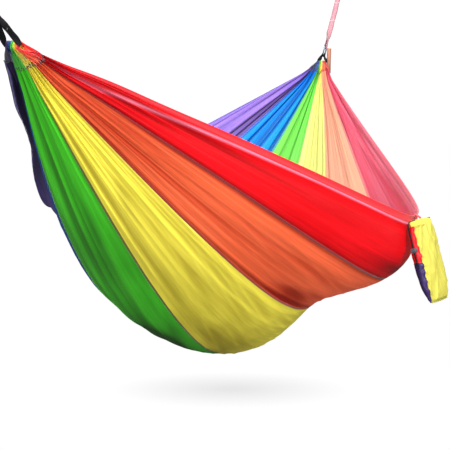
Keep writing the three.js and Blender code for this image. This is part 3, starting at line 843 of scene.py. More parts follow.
def webbing(name, color, edge, width, rib=0.0018, roughness=0.62, sheen=0.1,
            edge_width=0.0030, wear=0.35, paler=0.08, specular=0.15):
    """Woven flat webbing: ribs across, herringbone yarns, a selvedge along each edge,
    rubbed paler at the rims. width is in mm, rib and edge_width in metres; paler is how
    far the high yarns go towards white."""
    shader = new_shader(name)
    u, v = shader.use_uv()
    half_width = width / 1000.0 / 2
    v = top_v(v)[1]
    off_middle = abs(v)
    ribs = (u + v.math("PINGPONG", 0.0025) * 0.9).wave(rib)
    relief = ribs * 0.65 + v.wave(0.0009) * 0.35
    blotch = shader.noise(scale=1.4, detail=4.0, stretch=(14.0, 60.0, 1.0))
    fuzz = shader.noise(detail=2.0, stretch=(900.0, 900.0, 1.0))
    tone = shader.mix(relief * 0.55 + blotch * 0.45, shade(color, 0.86),
                      towards_white(color, paler))
    selvedge = off_middle > half_width - edge_width
    tone = shader.mix(selvedge * 0.8, tone, shade(edge))
    rubbed = ((off_middle + fuzz * 0.002) > half_width - 0.0003) * wear
    tone = shader.mix(rubbed, tone, towards_white(color, paler * 2.2, lift=6))
    normal = shader.bump(relief, strength=0.6, distance=0.0005)
    normal = shader.bump(fuzz, strength=0.2, distance=0.0003, over=normal)
    return shader.finish(shader.principled(
        tone, blotch.fitted(gain=0.2, offset=roughness - 0.1), normal,
        {"Sheen Weight": sheen, "Sheen Roughness": 0.5, "Specular IOR Level": specular}))


def tack_thread(name, color):
    """Bar of close zigzag stitching."""
    shader = new_shader(name)
    u, v = shader.use_uv()
    stitch = (u + v * 0.35).wave(0.0009)
    tone = shader.mix(stitch, shade(color, 0.6), shade(color, 1.15, lift=6))
    normal = shader.bump(stitch, strength=0.7, distance=0.0004)
    return shader.finish(shader.principled(tone, 0.5, normal, {"Sheen Weight": 0.4}))


def braided_cord(name, color):
    shader = new_shader(name)
    u, v = shader.use_uv()
    braid_period = 0.0013
    braid = (u + v).wave(braid_period).math("MAXIMUM", (u - v).wave(braid_period))
    fuzz = shader.noise(detail=2.0, stretch=(1200.0, 1200.0, 1.0))
    tone = shader.mix(braid, shade(color, 0.5), shade(color, 1.3, lift=4))
    tone = shader.mix((fuzz > 0.64) * 0.18, tone, shade((84, 84, 90)))
    normal = shader.bump(braid, strength=0.8, distance=0.0004)
    return shader.finish(shader.principled(tone, 0.7, normal, {"Specular IOR Level": 0.2}))


def worn_edges(shader, threshold, gain):
    """0..1 on the sharp convex edges of a mesh."""
    point = shader.node("ShaderNodeNewGeometry", output="Pointiness") - threshold
    return point.math("MULTIPLY", gain, clamp=True)


def metal(name, color, roughness, wear):
    """Drawn metal with rubbed edges and small scuffs."""
    shader = new_shader(name)
    shader.use_object()
    grain = shader.noise(stretch=(240.0, 1600.0, 900.0))
    scuff = shader.noise(scale=140.0, detail=6.0, roughness=0.7)
    edge = worn_edges(shader, threshold=0.53, gain=9.0)
    worn = (edge + (scuff > 0.60) * 0.30).math("MULTIPLY", 0.75, clamp=True)
    tone = shader.mix(worn, shader.mix(grain, shade(color, 0.85), shade(color, 1.15)),
                      shade(wear))
    return shader.finish(shader.principled(
        tone, scuff.fitted(gain=0.28, offset=roughness - 0.10),
        shader.bump(grain, strength=0.15, distance=0.0001),
        {"Metallic": 1.0, "Coat Weight": 0.2, "Coat Roughness": 0.2}))


def plastic(name, color):
    shader = new_shader(name)
    shader.use_object()
    roughness = 0.42
    sparkle = shader.noise(scale=2600.0)
    blotch = shader.noise(scale=90.0, detail=4.0)
    tone = shader.mix(blotch, shade(color, 0.8), shade(color, 1.25, lift=4))
    edge = worn_edges(shader, threshold=0.54, gain=8.0)
    tone = shader.mix(edge * 0.5, tone, shade((110, 114, 118)))
    return shader.finish(shader.principled(
        tone, blotch.fitted(gain=0.2, offset=roughness - 0.08),
        shader.bump(sparkle, strength=0.25, distance=0.00015)))


CLOTH = {name: nylon("cloth_" + name, **look) for name, look in STRIPES.items()}


# ---------------------------------------------------------------- the six stripes
def stripe(k, name):
    place = ridge_samples(STRIPE_ALONG)
    along, across = np.meshgrid(place, np.linspace(k, k + 1, STRIPE_ACROSS), indexing="ij")
    distance = lengths(bare_cloth(place, k + 0.5))
    obj = make("stripe_" + name, surface(along, across),
               grid_faces(STRIPE_ALONG, STRIPE_ACROSS, flip=True),
               uv_grid(distance[:, None] / 1000.0, (across - k) * STRIPE_UV_WIDTH))
    add_attribute(obj, "fold", fold_shade(along, across))
    # the tone attribute carries painted shade
    add_attribute(obj, "tone", painted_shade_at(along, across))
    if name == "red":
        add_attribute(obj, "hem_mm", across * mm_per_stripe(along, 0.0))
    give(obj, CLOTH[name], "nylon_" + name)
    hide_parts("panel_" + name)
    hang(obj, k + 0.5)


for index, stripe_name in enumerate(NAMES):
    stripe(index, stripe_name)


# ---------------------------------------------------------------- seams and hems
def both_faces(top):
    """Closed profile from its top half: (across mm, height mm)."""
    return np.array(top + [(x, -height) for x, height in top[::-1]])


def seam_profile(height=0.6, count=7):
    spans = [2 * k / (count - 1) - 1 for k in range(count)]
    return both_faces([(SEAM_HALF * x, height * (1 - abs(x) ** 4) + 0.12) for x in spans])


def hem_profile(sign, thick=0.7, count=9):
    """From the free edge inwards: a rolled bead, then the turned-in cloth."""
    top = []
    for k in range(count):
        x = lerp(0.0, HEM_WIDTH, (k / (count - 1)) ** 1.3)
        height = 0.1 if k == count - 1 else thick + 0.9 * bell(x, 1.2, 1.8)
        top.append((sign * x, height))
    return both_faces(top)


def strip(name, seam, material, slot, profile):
    """Raised band on the cloth along a seam line, narrower where the cloth is bunched."""
    along = ridge_samples(SEAM_SAMPLES)
    low, high = max(seam - 1e-3, 0), min(seam + 1e-3, 6)
    scale = np.linalg.norm(bare_cloth(along, high) - bare_cloth(along, low), axis=1)
    scale = np.maximum(scale / (high - low), 60.0)[:, None]        # mm per stripe
    shrink = np.clip(scale / 120.0, 0.35, 1.0)
    x, height = profile.T
    across = np.clip(seam + x * shrink / scale, 0, 6)
    points = surface(along[:, None], across, height * shrink)
    distance = lengths(bare_cloth(along, seam))[:, None]
    uv = uv_grid(distance / 1000.0, x / 1000.0 + np.where(height < 0, UNDERSIDE_UV, 0.0))
    obj = make_solid(name, points, ring_faces(SEAM_SAMPLES, len(profile)), uv)
    give(obj, material, slot)
    hang(obj, seam)


# Seams between neighbouring stripes: cloth colour, darker on the first three with painted
# shade of the seam crease; thread colour; inside colour, a paler lit copy painted for
# light on the inner face.
SEAMS = [
    ((150, 8, 10), (104, 4, 8), (255, 140, 140)),
    ((186, 26, 12), (120, 10, 8), (255, 205, 150)),
    ((128, 124, 30), (30, 44, 14), (220, 250, 130)),
    ((34, 140, 70), (12, 70, 110), (90, 205, 190)),
    ((40, 84, 205), (40, 40, 140), (110, 160, 250)),
]
for index, (color, thread, inside) in enumerate(SEAMS):
    seam_name = f"seam_{NAMES[index]}_{NAMES[index + 1]}"
    seam_look = sewn("sewn_" + seam_name, color, thread, rows=(-0.0016, 0.0016),
                     half=0.0006, gap=0.2, inside=inside)
    strip(seam_name, index + 1, seam_look, "nylon_" + NAMES[index], seam_profile())

# Hems: stripe, seam line, direction inwards, cloth colour, thread colour.
for name, seam, inwards, color, thread in (
        ("red", 0, 1, (232, 18, 34), (190, 8, 22)),
        ("purple", 6, -1, (104, 76, 190), (70, 46, 150))):
    hem_look = sewn("sewn_hem_" + name, color, thread, half=0.0005, translucency=0.28,
                    rows=(inwards * 0.0165, inwards * 0.0180),
                    inside=STRIPES[name]["inside"])
    strip("hem_" + name, seam, hem_look, "nylon_" + name, hem_profile(inwards))


# ---------------------------------------------------------------- materials of the ends
GATHERED = gathered_nylon()
LOOP_WEBBING = webbing("webbing_black", (13, 13, 16), edge=(6, 6, 8), width=LOOP_WIDTH,
                       rib=0.0015, roughness=0.66, sheen=0.0, edge_width=0.0016, wear=0.12,
                       paler=0.03, specular=0.16)
STRAP_WEBBING = webbing("webbing_strap", (196, 132, 142), edge=(118, 78, 86),
                        width=STRAP_WIDTH)
TAIL_WEBBING = webbing("webbing_tail", (214, 140, 108), edge=(92, 62, 54), width=TAIL_WIDTH)
PALE_THREAD = tack_thread("thread_pale", (214, 188, 190))
DARK_THREAD = tack_thread("thread_dark", (26, 24, 34))
DARK_STEEL = metal("steel_dark", (58, 66, 88), roughness=0.30, wear=(170, 175, 185))
BRIGHT_STEEL = metal("steel_bright", (190, 194, 200), roughness=0.25, wear=(225, 228, 232))
BLACK_CORD = braided_cord("cord_black", (17, 17, 19))
BLACK_PLASTIC = plastic("plastic_black", (20, 28, 34))


# ---------------------------------------------------------------- each end
class End:
    """Frame of one end: origin at the end of the ridge, out along the rising strap,
    side along +Y, and up square to both."""

    def __init__(self, name, way):
        self.name = name
        self.way = way
        rise = STRAP_RISE[way]
        self.origin = np.array([way * HALF, 0, 0])
        self.out = np.array([way * math.cos(rise), 0, math.sin(rise)])
        self.side = np.array([0, 1.0, 0])
        self.up = np.array([-way * math.sin(rise), 0, math.cos(rise)])
        self.clip = CLIP_AT[way]

    def at(self, out, side, up):
        out, side, up = np.broadcast_arrays(*[np.asarray(q, float)[..., None]
                                              for q in (out, side, up)])
        return self.origin + out * self.out + side * self.side + up * self.up

    def local(self, points):
        offset = points - self.origin
        return offset @ self.out, offset @ self.side, offset @ self.up


def bartack(name, middle, run, half_run, count, wide, thin, size, look, rides):
    """Bar of stitching along run. look is (material, slot), size (width, thickness)."""
    path = [middle + run * x for x in np.linspace(-half_run, half_run, count)]
    fit(sweep(name, path, [wide] * count, [thin] * count, *size), *look, rides)


def channel(end):
    """The gathered cloth runs round the loop's bar and back on itself to the stitching:
    a pleated tube that the bar lies in."""
    way = end.way
    across = np.linspace(0, 6, CHANNEL_ACROSS)
    # two sets of pleats, for the outer and the inner face
    phase = across * 5 + 0.9 * BUNCH_NOISE(across * 2.3 + NOISE_SHIFT[way], 0.1)
    outer_pleat = np.sin(2 * np.pi * phase) + 0.5 * CRISP_NOISE(across * 11.0, 3.3)
    inner_pleat = (np.sin(2 * np.pi * (across * 5.5 + 0.35))
                   + 0.5 * LONG_NOISE(across * 9.0, 1.3))
    bar = bar_at(way, across)
    bar_out, bar_up = 6.2, 8.6        # half sizes of the turn round the bar

    def cloth_row(start, share, turn_up):
        """Row between the stitching (share 0) and the bar (share 1)."""
        out, side, up = start
        turn = smooth(share)
        return end.at(lerp(out, 0.0, share),
                      lerp(side, bar, share ** 1.2) + 0.5 * turn * inner_pleat,
                      lerp(up, turn_up, turn))

    rows = []
    outer = end.local(surface(way * PANEL_TO, across))
    for share in np.linspace(0, 1, 26):
        row = cloth_row(outer, share, -bar_up)
        rows.append(row - end.up * (1.9 * smooth(share) * outer_pleat)[:, None])
    for angle in np.linspace(-math.pi / 2, math.pi / 2, 15)[1:-1]:
        rise = math.sin(angle)
        swell = 1 + 0.20 * (outer_pleat * (1 - rise) + inner_pleat * (1 + rise)) / 2
        rows.append(end.at(bar_out * math.cos(angle) * swell, bar + 0.5 * inner_pleat,
                           bar_up * rise * swell))
    inner = end.local(surface(way * PANEL_TO, across, -1.4))
    for share in np.linspace(1, 0, 22):
        row = cloth_row(inner, share, bar_up)
        rows.append(row + end.up * (1.7 * smooth(share) * inner_pleat)[:, None])
    rows = np.array(rows)
    distance = lengths(rows[:, CHANNEL_ACROSS // 2])
    obj = make("channel_" + end.name, rows,
               grid_faces(len(rows), CHANNEL_ACROSS, flip=(way > 0)),
               uv_grid(distance[:, None] / 1000.0, across / 6.0))
    fit(obj, GATHERED, "nylon_gathered", "canopy", replaces="end_sleeve_" + end.name)


def channel_stitches(end):
    """Stitching that closes the channel, across every fold on both faces."""
    across = np.linspace(0.04, 5.96, 700)
    along = end.way * (PANEL_TO + 0.002) + 0.0007 * np.sin(across * 2 * np.pi * 9)
    for label, lift in (("outer", 1.0), ("inner", -2.4)):
        obj = tube(f"channel_stitch_{label}_{end.name}", surface(along, across, lift),
                   diameter=1.3, sides=6)
        fit(obj, DARK_THREAD, "black_cord", "canopy")


def loop_outline(top_at):
    """(out, side) points of the webbing loop, round the bar and up to the clip."""
    flat = LOOP_SPREAD - BAR_RADIUS
    slope = math.atan2(LOOP_SPREAD - LOOP_TOP_RADIUS, top_at - BAR_RADIUS)
    bar = [(0, lerp(-flat, flat, i / 4)) for i in range(5)]
    leg = []
    for i in range(1, 5):
        angle = (math.pi / 2 - slope) * i / 4
        leg.append((BAR_RADIUS - BAR_RADIUS * math.cos(angle),
                    flat + BAR_RADIUS * math.sin(angle)))
    corner = leg[-1]
    for i in range(1, 6):
        leg.append((lerp(corner[0], top_at, i / 6), lerp(corner[1], LOOP_TOP_RADIUS, i / 6)))
    top = []
    for i in range(9):
        angle = math.pi / 2 - math.pi * i / 8
        top.append((top_at + LOOP_TOP_RADIUS * math.cos(angle),
                    LOOP_TOP_RADIUS * math.sin(angle)))
    return bar + leg + top + [(out, -side) for out, side in leg[::-1]]


def end_loop(end):
    top_at = end.clip + LOOP_TOP_AT
    path = spline([end.at(out, side, 0) for out, side in loop_outline(top_at)], 220,
                  closed=True)
    forward = tangents(path, closed=True)
    thin = unit(np.cross(forward, end.up))
    wide = np.cross(thin, forward)
    # the legs twist a little between the channel and the clip
    out, side, _ = end.local(path)
    share = np.clip((out - BAR_RADIUS) / (end.clip - BAR_RADIUS), 0, 1)
    most = 1.20 if end.way < 0 else 0.85
    twist = (-most * np.sin(np.pi * share) * np.sign(side))[:, None]
    obj = sweep("end_webbing_" + end.name, path,
                wide * np.cos(twist) + thin * np.sin(twist),
                thin * np.cos(twist) - wide * np.sin(twist),
                width=LOOP_WIDTH, thick=2.2, closed=True, crown=0.15)
    fit(obj, LOOP_WEBBING, "black_webbing", "canopy", replaces="end_loop_" + end.name)
    # bartack on each leg where they close up under the clip
    tack_at = end.clip * 0.7
    share = (tack_at - BAR_RADIUS) / (top_at - BAR_RADIUS)
    leg = lerp(LOOP_SPREAD, LOOP_TOP_RADIUS, share) + 1.55
    for sign, label in ((-1, "a"), (1, "b")):
        bartack(f"loop_bartack_{end.name}_{label}", end.at(tack_at, sign * leg, 0),
                run=end.up, half_run=5.5, count=24, wide=end.out, thin=end.side * sign,
                size=(3.2, 0.7), look=(DARK_THREAD, "black_webbing"), rides="canopy")


def tree_strap(end):
    """The strap's two plies, quarter-turned above the clip, with a bartack at each
    pocket."""
    rod = end.clip + STRAP_ROD_AT
    low = end.clip + STRAP_LOW_AT
    top = STRAP_RUN[end.way] - 6

    def axes(out):
        """Directions of the strap's width and face."""
        turn = (smooth((np.asarray(out) - (rod + 12)) / 120) * np.pi / 2)[..., None]
        return (end.up * np.cos(turn) + end.side * np.sin(turn),
                end.side * np.cos(turn) - end.up * np.sin(turn))

    def half_gap(out):
        """Half the distance between the plies, open round the rod."""
        beyond = out - rod
        wide_open, shut = ROD_RADIUS + STRAP_THICK / 2, STRAP_THICK / 2 + 0.25
        round_rod = np.sqrt(np.clip(1 - (beyond / (rod - low)) ** 2, 0, 1))
        return np.where(beyond < 0, lerp(shut, wide_open, round_rod),
                        lerp(wide_open, shut, smooth(beyond / STRAP_JOIN)))

    def pocket_bulge(out):
        pockets = (out - rod - STRAP_JOIN) / POCKET
        share = pockets - np.floor(pockets)
        return np.where(pockets <= 0, 0, 3.2 * np.sin(np.pi * share) ** 2)

    def width_at(out):
        return lerp(STRAP_WIDTH_AT_CLIP, STRAP_WIDTH, smooth((out - rod - 8) / 60))

    out = np.r_[np.linspace(low, rod + 50, 40, endpoint=False), np.linspace(rod + 50, top, 150)]
    wide, face = axes(out)
    for name, replaced, offset in (
            ("strap_ply_", "strap_back_", -half_gap(out)),
            ("strap_pockets_", "strap_loops_", half_gap(out) + pocket_bulge(out))):
        obj = sweep(name + end.name, end.at(out, 0, 0) + face * offset[:, None], wide, face,
                    width=width_at(out), thick=1.5)
        fit(obj, STRAP_WEBBING, "strap_webbing", "canopy", replaces=replaced + end.name)
    for k, tack_at in enumerate(np.arange(rod + STRAP_JOIN, top - 8, POCKET)):
        wide, face = axes(tack_at)
        for sign, label in ((-1, "a"), (1, "b")):
            middle = end.at(tack_at, 0, 0) + face * sign * (float(half_gap(tack_at)) + 0.85)
            bartack(f"strap_bartack_{end.name}_{k}_{label}", middle, run=wide,
                    half_run=width_at(tack_at) / 2 - 1.2, count=30, wide=end.out,
                    thin=face * sign, size=(3.4, 0.8),
                    look=(PALE_THREAD, "strap_webbing"), rides="canopy")


def strap_tail(end):
    """Free last pocket hanging beside the clip."""
    top = end.at(end.clip + 43, -end.way * 16.0, 0)
    angle = 2 * np.pi * np.arange(60) / 60
    drop = (1 - np.cos(angle)) / 2
    outline = top + np.stack([end.way * 3.0 * np.sin(angle) * (0.35 + 1.3 * drop),
                              1.4 * np.sin(2.2 * drop), -TAIL_DROP * drop], -1)
    path = spline(outline, 180, closed=True)
    wide = np.array([0, 1.0, 0])
    thin = unit(np.cross(tangents(path, closed=True), wide))
    twist = (0.30 * smooth((top[2] - path[:, 2]) / TAIL_DROP))[:, None]
    twisted = unit(wide * np.cos(twist) + np.array([1.0, 0, 0]) * np.sin(twist))
    obj = sweep("strap_end_" + end.name, path, twisted, thin, width=TAIL_WIDTH, thick=1.5,
                closed=True)
    fit(obj, TAIL_WEBBING, "strap_webbing", "tail_" + end.name,
        replaces="strap_tail_" + end.name)


def anchor_eye(end):
    """Sewn eye beyond the swing axis."""
    axis = end.at(STRAP_RUN[end.way], 0, 0)
    outwards = np.array([end.way, 0, 0.0])
    upwards = np.array([0, 0, 1.0])
    half_height, tip = 22 / 2 - 1.5, 84 - 1.5
    # (outwards, upwards) from the axis
    upper = [(4, 2.0), (14, 3.2), (26, 6.2), (38, half_height - 1), (50, half_height),
             (62, half_height), (tip - 3, half_height), (tip, half_height - 3)]
    outline = upper + [(x, -z) for x, z in upper[::-1]]
    path = spline([axis + outwards * x + upwards * z for x, z in outline], 200, closed=True)
    thin = unit(np.cross(tangents(path, closed=True), end.side))
    obj = sweep("eye_webbing_" + end.name, path, np.tile(end.side, (200, 1)), thin,
                width=24.0, thick=2.8, closed=True)
    fit(obj, STRAP_WEBBING, "strap_webbing", "anchors", replaces="anchor_eye_" + end.name)
    for k, tack_at in enumerate((11.0, 17.5)):
        height = float(np.interp(tack_at, *zip(*upper[:3]))) + 1.7
        for sign, label in ((-1, "a"), (1, "b")):
            bartack(f"eye_bartack_{end.name}_{k}_{label}",
                    axis + outwards * tack_at + upwards * sign * height, run=end.side,
                    half_run=10.5, count=30, wide=outwards, thin=upwards * sign,
                    size=(3.2, 0.8), look=(PALE_THREAD, "strap_webbing"), rides="anchors")


for side_name, side_way in SIDES.items():
    this_end = End(side_name, side_way)
    for build in (channel, channel_stitches, end_loop, tree_strap, strap_tail, anchor_eye):
        build(this_end)

# ---------------------------------------------------------------- stuff sack
# The sack's own frame: x across, -y its front, z 0 at the mouth and negative down.
EDGE = bare_cloth(0.0, 0.0, -4.0)
SACK_AT = EDGE + np.array([0, -12.0, -16.0])
LEAN_TURN = np.array([[1, 0, 0], [0, math.cos(SACK_LEAN), -math.sin(SACK_LEAN)],
                      [0, math.sin(SACK_LEAN), math.cos(SACK_LEAN)]])
YAW_TURN = np.array([[math.cos(SACK_YAW), -math.sin(SACK_YAW), 0],
                     [math.sin(SACK_YAW), math.cos(SACK_YAW), 0], [0, 0, 1]])
SACK_TURN = YAW_TURN @ LEAN_TURN


def sack_place(points):
    return SACK_AT + np.asarray(points, float) @ SACK_TURN.T


def sack_half(z):
    """Half width of the bag at height z."""
    down = -z / SACK_HEIGHT
    return SACK_WIDTH / 2 * (0.86 + 0.20 * smooth(down / 0.20)
                             - 0.20 * smooth((down - 0.78) / 0.22))


def sack_depth(x, z, facing=-1):
    """How far the wall stands out: facing is -1 on the front, +1 on the back."""
    bulge, power = (27.0, 4) if facing > 0 else (17.0, 2.6)
    over_x = np.clip(1 - np.abs(x / (SACK_WIDTH / 2)) ** power, 0, 1)
    over_z = np.clip(np.sin(np.pi * np.clip((-z / SACK_HEIGHT) * 0.86 + 0.10, 0, 1)), 0, 1)
    return 1.2 + bulge * np.sqrt(over_x) * over_z ** 0.7


def sack_wall(facing, span, heights):
    """Rows of the bag's wall. facing is -1 front or +1 back, span is -1..1 across."""
    facing, span = np.asarray(facing, float), np.asarray(span, float)
    rows = []
    for z in heights:
        flat_x = span * SACK_WIDTH / 2
        back_depth = sack_depth(flat_x, z, 1)
        y = np.where(facing > 0, back_depth, -sack_depth(flat_x, z, -1))
        # puckers along the side seams
        edge = np.exp(-((1 - np.abs(span)) / 0.16))
        inner = np.clip((1 - np.abs(span)) / 0.05, 0, 1)
        seamed = bell(span, SACK_SEAM_X, 0.10) * (facing < 0)
        pucker = 1.3 * (edge + seamed) * inner * np.sin(
            z / 4.3 + 2.5 * BUNCH_NOISE(z / 30.0, 3.0) + np.sign(span) * 1.3)
        # long soft folds, from broad to fine
        fold = 6.5 * CRISP_NOISE(span * 1.5 + z / 120.0, z / 70.0 + 4)
        fold += 3.4 * ridges(LONG_NOISE(span * 2.4 - z / 60.0, z / 110.0), power=0.7)
        fold += 1.6 * ridges(SOFT_NOISE(span * 4.0 + z / 45.0, z / 60.0 + 9), power=0.7)
        fold *= (1 - edge) * inner
        # the gathered mouth
        gather = (2.4 * np.exp(z / 16.0) * inner
                  * np.sin(span * 21 + 2.0 * SOFT_NOISE(span * 3, 0.5)))
        droop = 3.0 * np.cos(span * np.pi / 2) * smooth((-z - 150) / 82)
        calm = 1 - 0.6 * np.exp(-(z + SACK_HEIGHT) / 10.0)
        y = y + facing * (pucker + fold * 0.9 + gather) * calm
        y = np.where(facing < 0, np.minimum(y, -0.6), np.maximum(y, 0.6))
        # the back never stands out past the room it has beside the cloth
        y = np.where(facing > 0, np.minimum(y, back_depth + 0.3), y)
        y = np.where(np.abs(span) > 0.9999, 0.0, y)
        # near the bottom the two walls close up on each other
        y = y * smooth((z + SACK_HEIGHT) / 9.0)
        # the bag hangs fuller at its upper right
        x = span * sack_half(z) + 7.0 * np.clip(span, 0, 1) ** 2 * bell(z, -52, 44.0)
        rows.append(np.stack([x, y, np.full(len(span), z) - droop], -1))
    return np.array(rows)


FRONT_SPAN = lerp(SACK_SEAM_X, 1.0, (1 - np.cos(np.linspace(0, np.pi, SACK_ACROSS))) / 2)
FRONT_FACING = -np.ones(SACK_ACROSS)
# the back cloth wraps round the left side to the seam on the front
WRAP_SPAN = np.linspace(-1, SACK_SEAM_X, 10)[1:]
BACK_SPAN = np.r_[np.sin(np.linspace(1, -1, SACK_ACROSS) * np.pi / 2), WRAP_SPAN]
BACK_FACING = np.r_[np.ones(SACK_ACROSS), -np.ones(len(WRAP_SPAN))]


def sack_walls():
    # stripe whose inside colour, a paler lit copy painted on the inner face, it shares: colour,
    # translucency
    looks = {"yellow": ((210, 201, 78), 0.16), "red": ((226, 10, 24), 0.16),
             "purple": ((47, 29, 84), 0.08)}
    cloth = {name: nylon("sack_cloth_" + name, color, STRIPES[name]["inside"],
                         translucency=through, roughness=0.46)
             for name, (color, through) in looks.items()}
    front, back = (FRONT_FACING, FRONT_SPAN), (BACK_FACING, BACK_SPAN)
    for name, replaced, dye, (facing, span), start, end, count in (
            ("sack_face_yellow", "sack_front", "yellow", front, 0.0, -SACK_HEIGHT, SACK_ROWS),
            ("sack_side_red", "sack_back_red", "red", back, 0.0, SACK_SPLIT, SACK_ROWS // 2),
            ("sack_side_purple", "sack_back_purple", "purple", back, SACK_SPLIT,
             -SACK_HEIGHT, SACK_ROWS // 2)):
        wall = sack_wall(facing, span, np.linspace(start, end, count))
        uv = uv_grid(-wall[..., 2] / 1000.0, wall[..., 0] / 1000.0 + 0.1)
        obj = make(name, sack_place(wall), grid_faces(count, len(span)), uv)
        solid = obj.modifiers.new("cloth thickness", "SOLIDIFY")
        solid.thickness = 0.0006
        solid.offset = -1.0
        fit(obj, cloth[dye], "nylon_" + dye, "sack", replaces=replaced)


def sack_piping():
    """Piping down both side seams and round the bottom."""
    heights = np.linspace(-2, -SACK_HEIGHT + 1, 90)
    left = sack_wall([-1.0], [SACK_SEAM_X], heights)[:, 0] + np.array([-0.3, -0.3, 0])
    right = sack_wall([-1.0], [1.0], heights)[:, 0]
    half = sack_half(-SACK_HEIGHT)
    bottom = [(half * x, 0, -SACK_HEIGHT - 3.0 * math.cos(x * math.pi / 2))
              for x in np.linspace(SACK_SEAM_X, 1, 60)]
    path = spline(np.vstack([left, bottom[1:-1], right[::-1]])[::3], 320)
    path[:, 1] += 0.6 * np.sin(np.arange(320) * 0.9)
    look = sewn("sewn_sack", (226, 216, 84), (170, 160, 60), rows=(0.001,), pitch=0.003)
    fit(tube("sack_piping", sack_place(path), 1.7, sides=8), look, "nylon_yellow", "sack")


def sack_mouth():
    """Folded, gathered band that holds the drawcord."""
    outline = []
    for angle in np.linspace(0, 2 * np.pi, 200, endpoint=False):
        cosine, sine = math.cos(angle), math.sin(angle)
        x = np.sign(cosine) * abs(cosine) ** 0.8
        facing = 1 if sine > 0 else -1
        depth = max(float(sack_depth(x * SACK_WIDTH / 2, 0.0, facing)), 1.3)
        outline.append((x * sack_half(0), facing * depth * min(1, abs(sine) * 3.0), 0.0))
    count, gathers = 240, 26
    ring = spline(outline[::2], count, closed=True)
    outwards = unit(np.cross(tangents(ring, closed=True), np.array([0, 0, 1.0])))
    steps = np.arange(count)
    ring = ring + outwards * (1.2 * np.sin(steps * 2 * np.pi * gathers / count))[:, None]
    # section of the band: (outwards, height)
    rising = [(-0.9, -15), (-1.5, -9), (-2.2, -3), (-2.6, 1.0), (-2.0, 4.2)]
    section = np.array(rising + [(0.0, 5.8)] + [(-x, z) for x, z in rising[::-1]])
    points = ring[:, None] + outwards[:, None] * section[:, :1]
    points[..., 2] += section[:, 1] + 0.7 * np.sin(steps * 0.61)[:, None]
    obj = make_solid("sack_mouth_hem", sack_place(points),
                     ring_faces(count, len(section), closed=True),
                     uv_grid(lengths(ring)[:, None] / 1000.0, section[:, 1] / 1000.0))
    look = sewn("sewn_mouth", (226, 215, 78), (150, 142, 50), rows=(-0.0125,), pitch=0.003,
                translucency=0.25)
    fit(obj, look, "nylon_yellow", "sack")


def sack_cross_seam():
    """Seam between the red and purple back cloths."""
    path = spline(sack_wall(BACK_FACING, BACK_SPAN, [SACK_SPLIT])[0][1:], 140)
    obj = tube("sack_cross_seam", sack_place(path + np.array([0, 0.6, 0])), 1.8, sides=8)
    look = sewn("sewn_cross", (120, 22, 44), (40, 12, 40), rows=(0.001,), pitch=0.003)
    fit(obj, look, "nylon_red", "sack")


def sack_tab():
    """Tab from the hammock's edge over the sack's mouth."""
    share = np.linspace(0, 1, 33)
    path = np.stack([np.full(33, EDGE[0]),
                     lerp(EDGE[1] + 3.5, EDGE[1] - 13.5, smooth(share * 1.1)),
                     EDGE[2] + 4.0 - 14.0 * share ** 1.4], -1)
    wide = np.tile(np.array([1.0, 0, 0]), (33, 1))
    obj = sweep("sack_tab_cloth", path, wide, np.cross(tangents(path), wide),
                width=24.0, thick=1.6, crown=0.2)
    look = sewn("sewn_tab", (226, 20, 34), (120, 6, 16), rows=(-0.009, 0.009), pitch=0.003)
    fit(obj, look, "nylon_red", "near_side", replaces="sack_tab")


def drawcord():
    """Cord round the mouth, its two strands, the knot joining them and its two tips."""
    hang_x = -SACK_WIDTH / 2 - 13
    right_x = SACK_WIDTH * 0.44
    front_y = -(float(sack_depth(0.0, 0.0)) + 0.3) + 1
    cord_room = 2.6
    strand_y = -cord_room / 2 - 0.1
    front = [(hang_x, strand_y, -112), (hang_x, strand_y, -80), (hang_x, strand_y, -40),
             (hang_x, strand_y, -12), (hang_x + 6, -cord_room - 1, 1.5),
             (hang_x + 20, -8, 4), (-30, front_y, 4), (0, front_y, 4), (30, front_y, 4),
             (right_x - 6, -8, 4)]
    outline = front + [(right_x + 1, 0, 4)] + [(x, -y, z) for x, y, z in front[::-1]]
    obj = tube("drawcord_braid", sack_place(spline(outline, 420)), 2.4)
    fit(obj, BLACK_CORD, "black_cord", "sack", replaces="drawcord")

    angle = 2 * np.pi * np.arange(90) / 90
    radius = 2.5 + 0.9 * np.cos(3 * angle)
    knot = np.stack([hang_x + radius * np.cos(2 * angle), radius * np.sin(2 * angle),
                     -115.5 + 2.1 * np.sin(3 * angle)], -1)
    obj = tube("drawcord_knot", sack_place(knot), 2.5, sides=10, closed=True)
    fit(obj, BLACK_CORD, "black_cord", "sack")

    for i, sign in enumerate((-1, 1)):
        tip = spline([(hang_x + sign * 0.6, sign * 0.8, -117),
                      (hang_x + sign * 1.6, sign * 1.2, -122),
                      (hang_x + sign * 3.4, sign * 1.0, -127)], 14)
        obj = tube(f"drawcord_tip_{i}", sack_place(tip), np.linspace(2.4, 2.9, 14), sides=10)
        fit(obj, BLACK_CORD, "black_cord", "sack")


for build in (sack_walls, sack_piping, sack_mouth, sack_cross_seam, sack_tab, drawcord):
    build()

# ---------------------------------------------------------------- hard parts kept from CAD
# material, sharp-edge angle in degrees, pieces
HARD_PARTS = [
    (DARK_STEEL, 50, ("carabiner_near", "carabiner_far")),
    (DARK_STEEL, 40, ("gate_near", "gate_far")),
    (BRIGHT_STEEL, 40, ("gate_rivet_near", "gate_rivet_far")),
    (BRIGHT_STEEL, 60, ("gate_spring_near", "gate_spring_far")),
    (BLACK_PLASTIC, 35, ("cord_lock_barrel", "cord_lock_plunger")),
    (BRIGHT_STEEL, 60, ("cord_lock_spring",)),
]


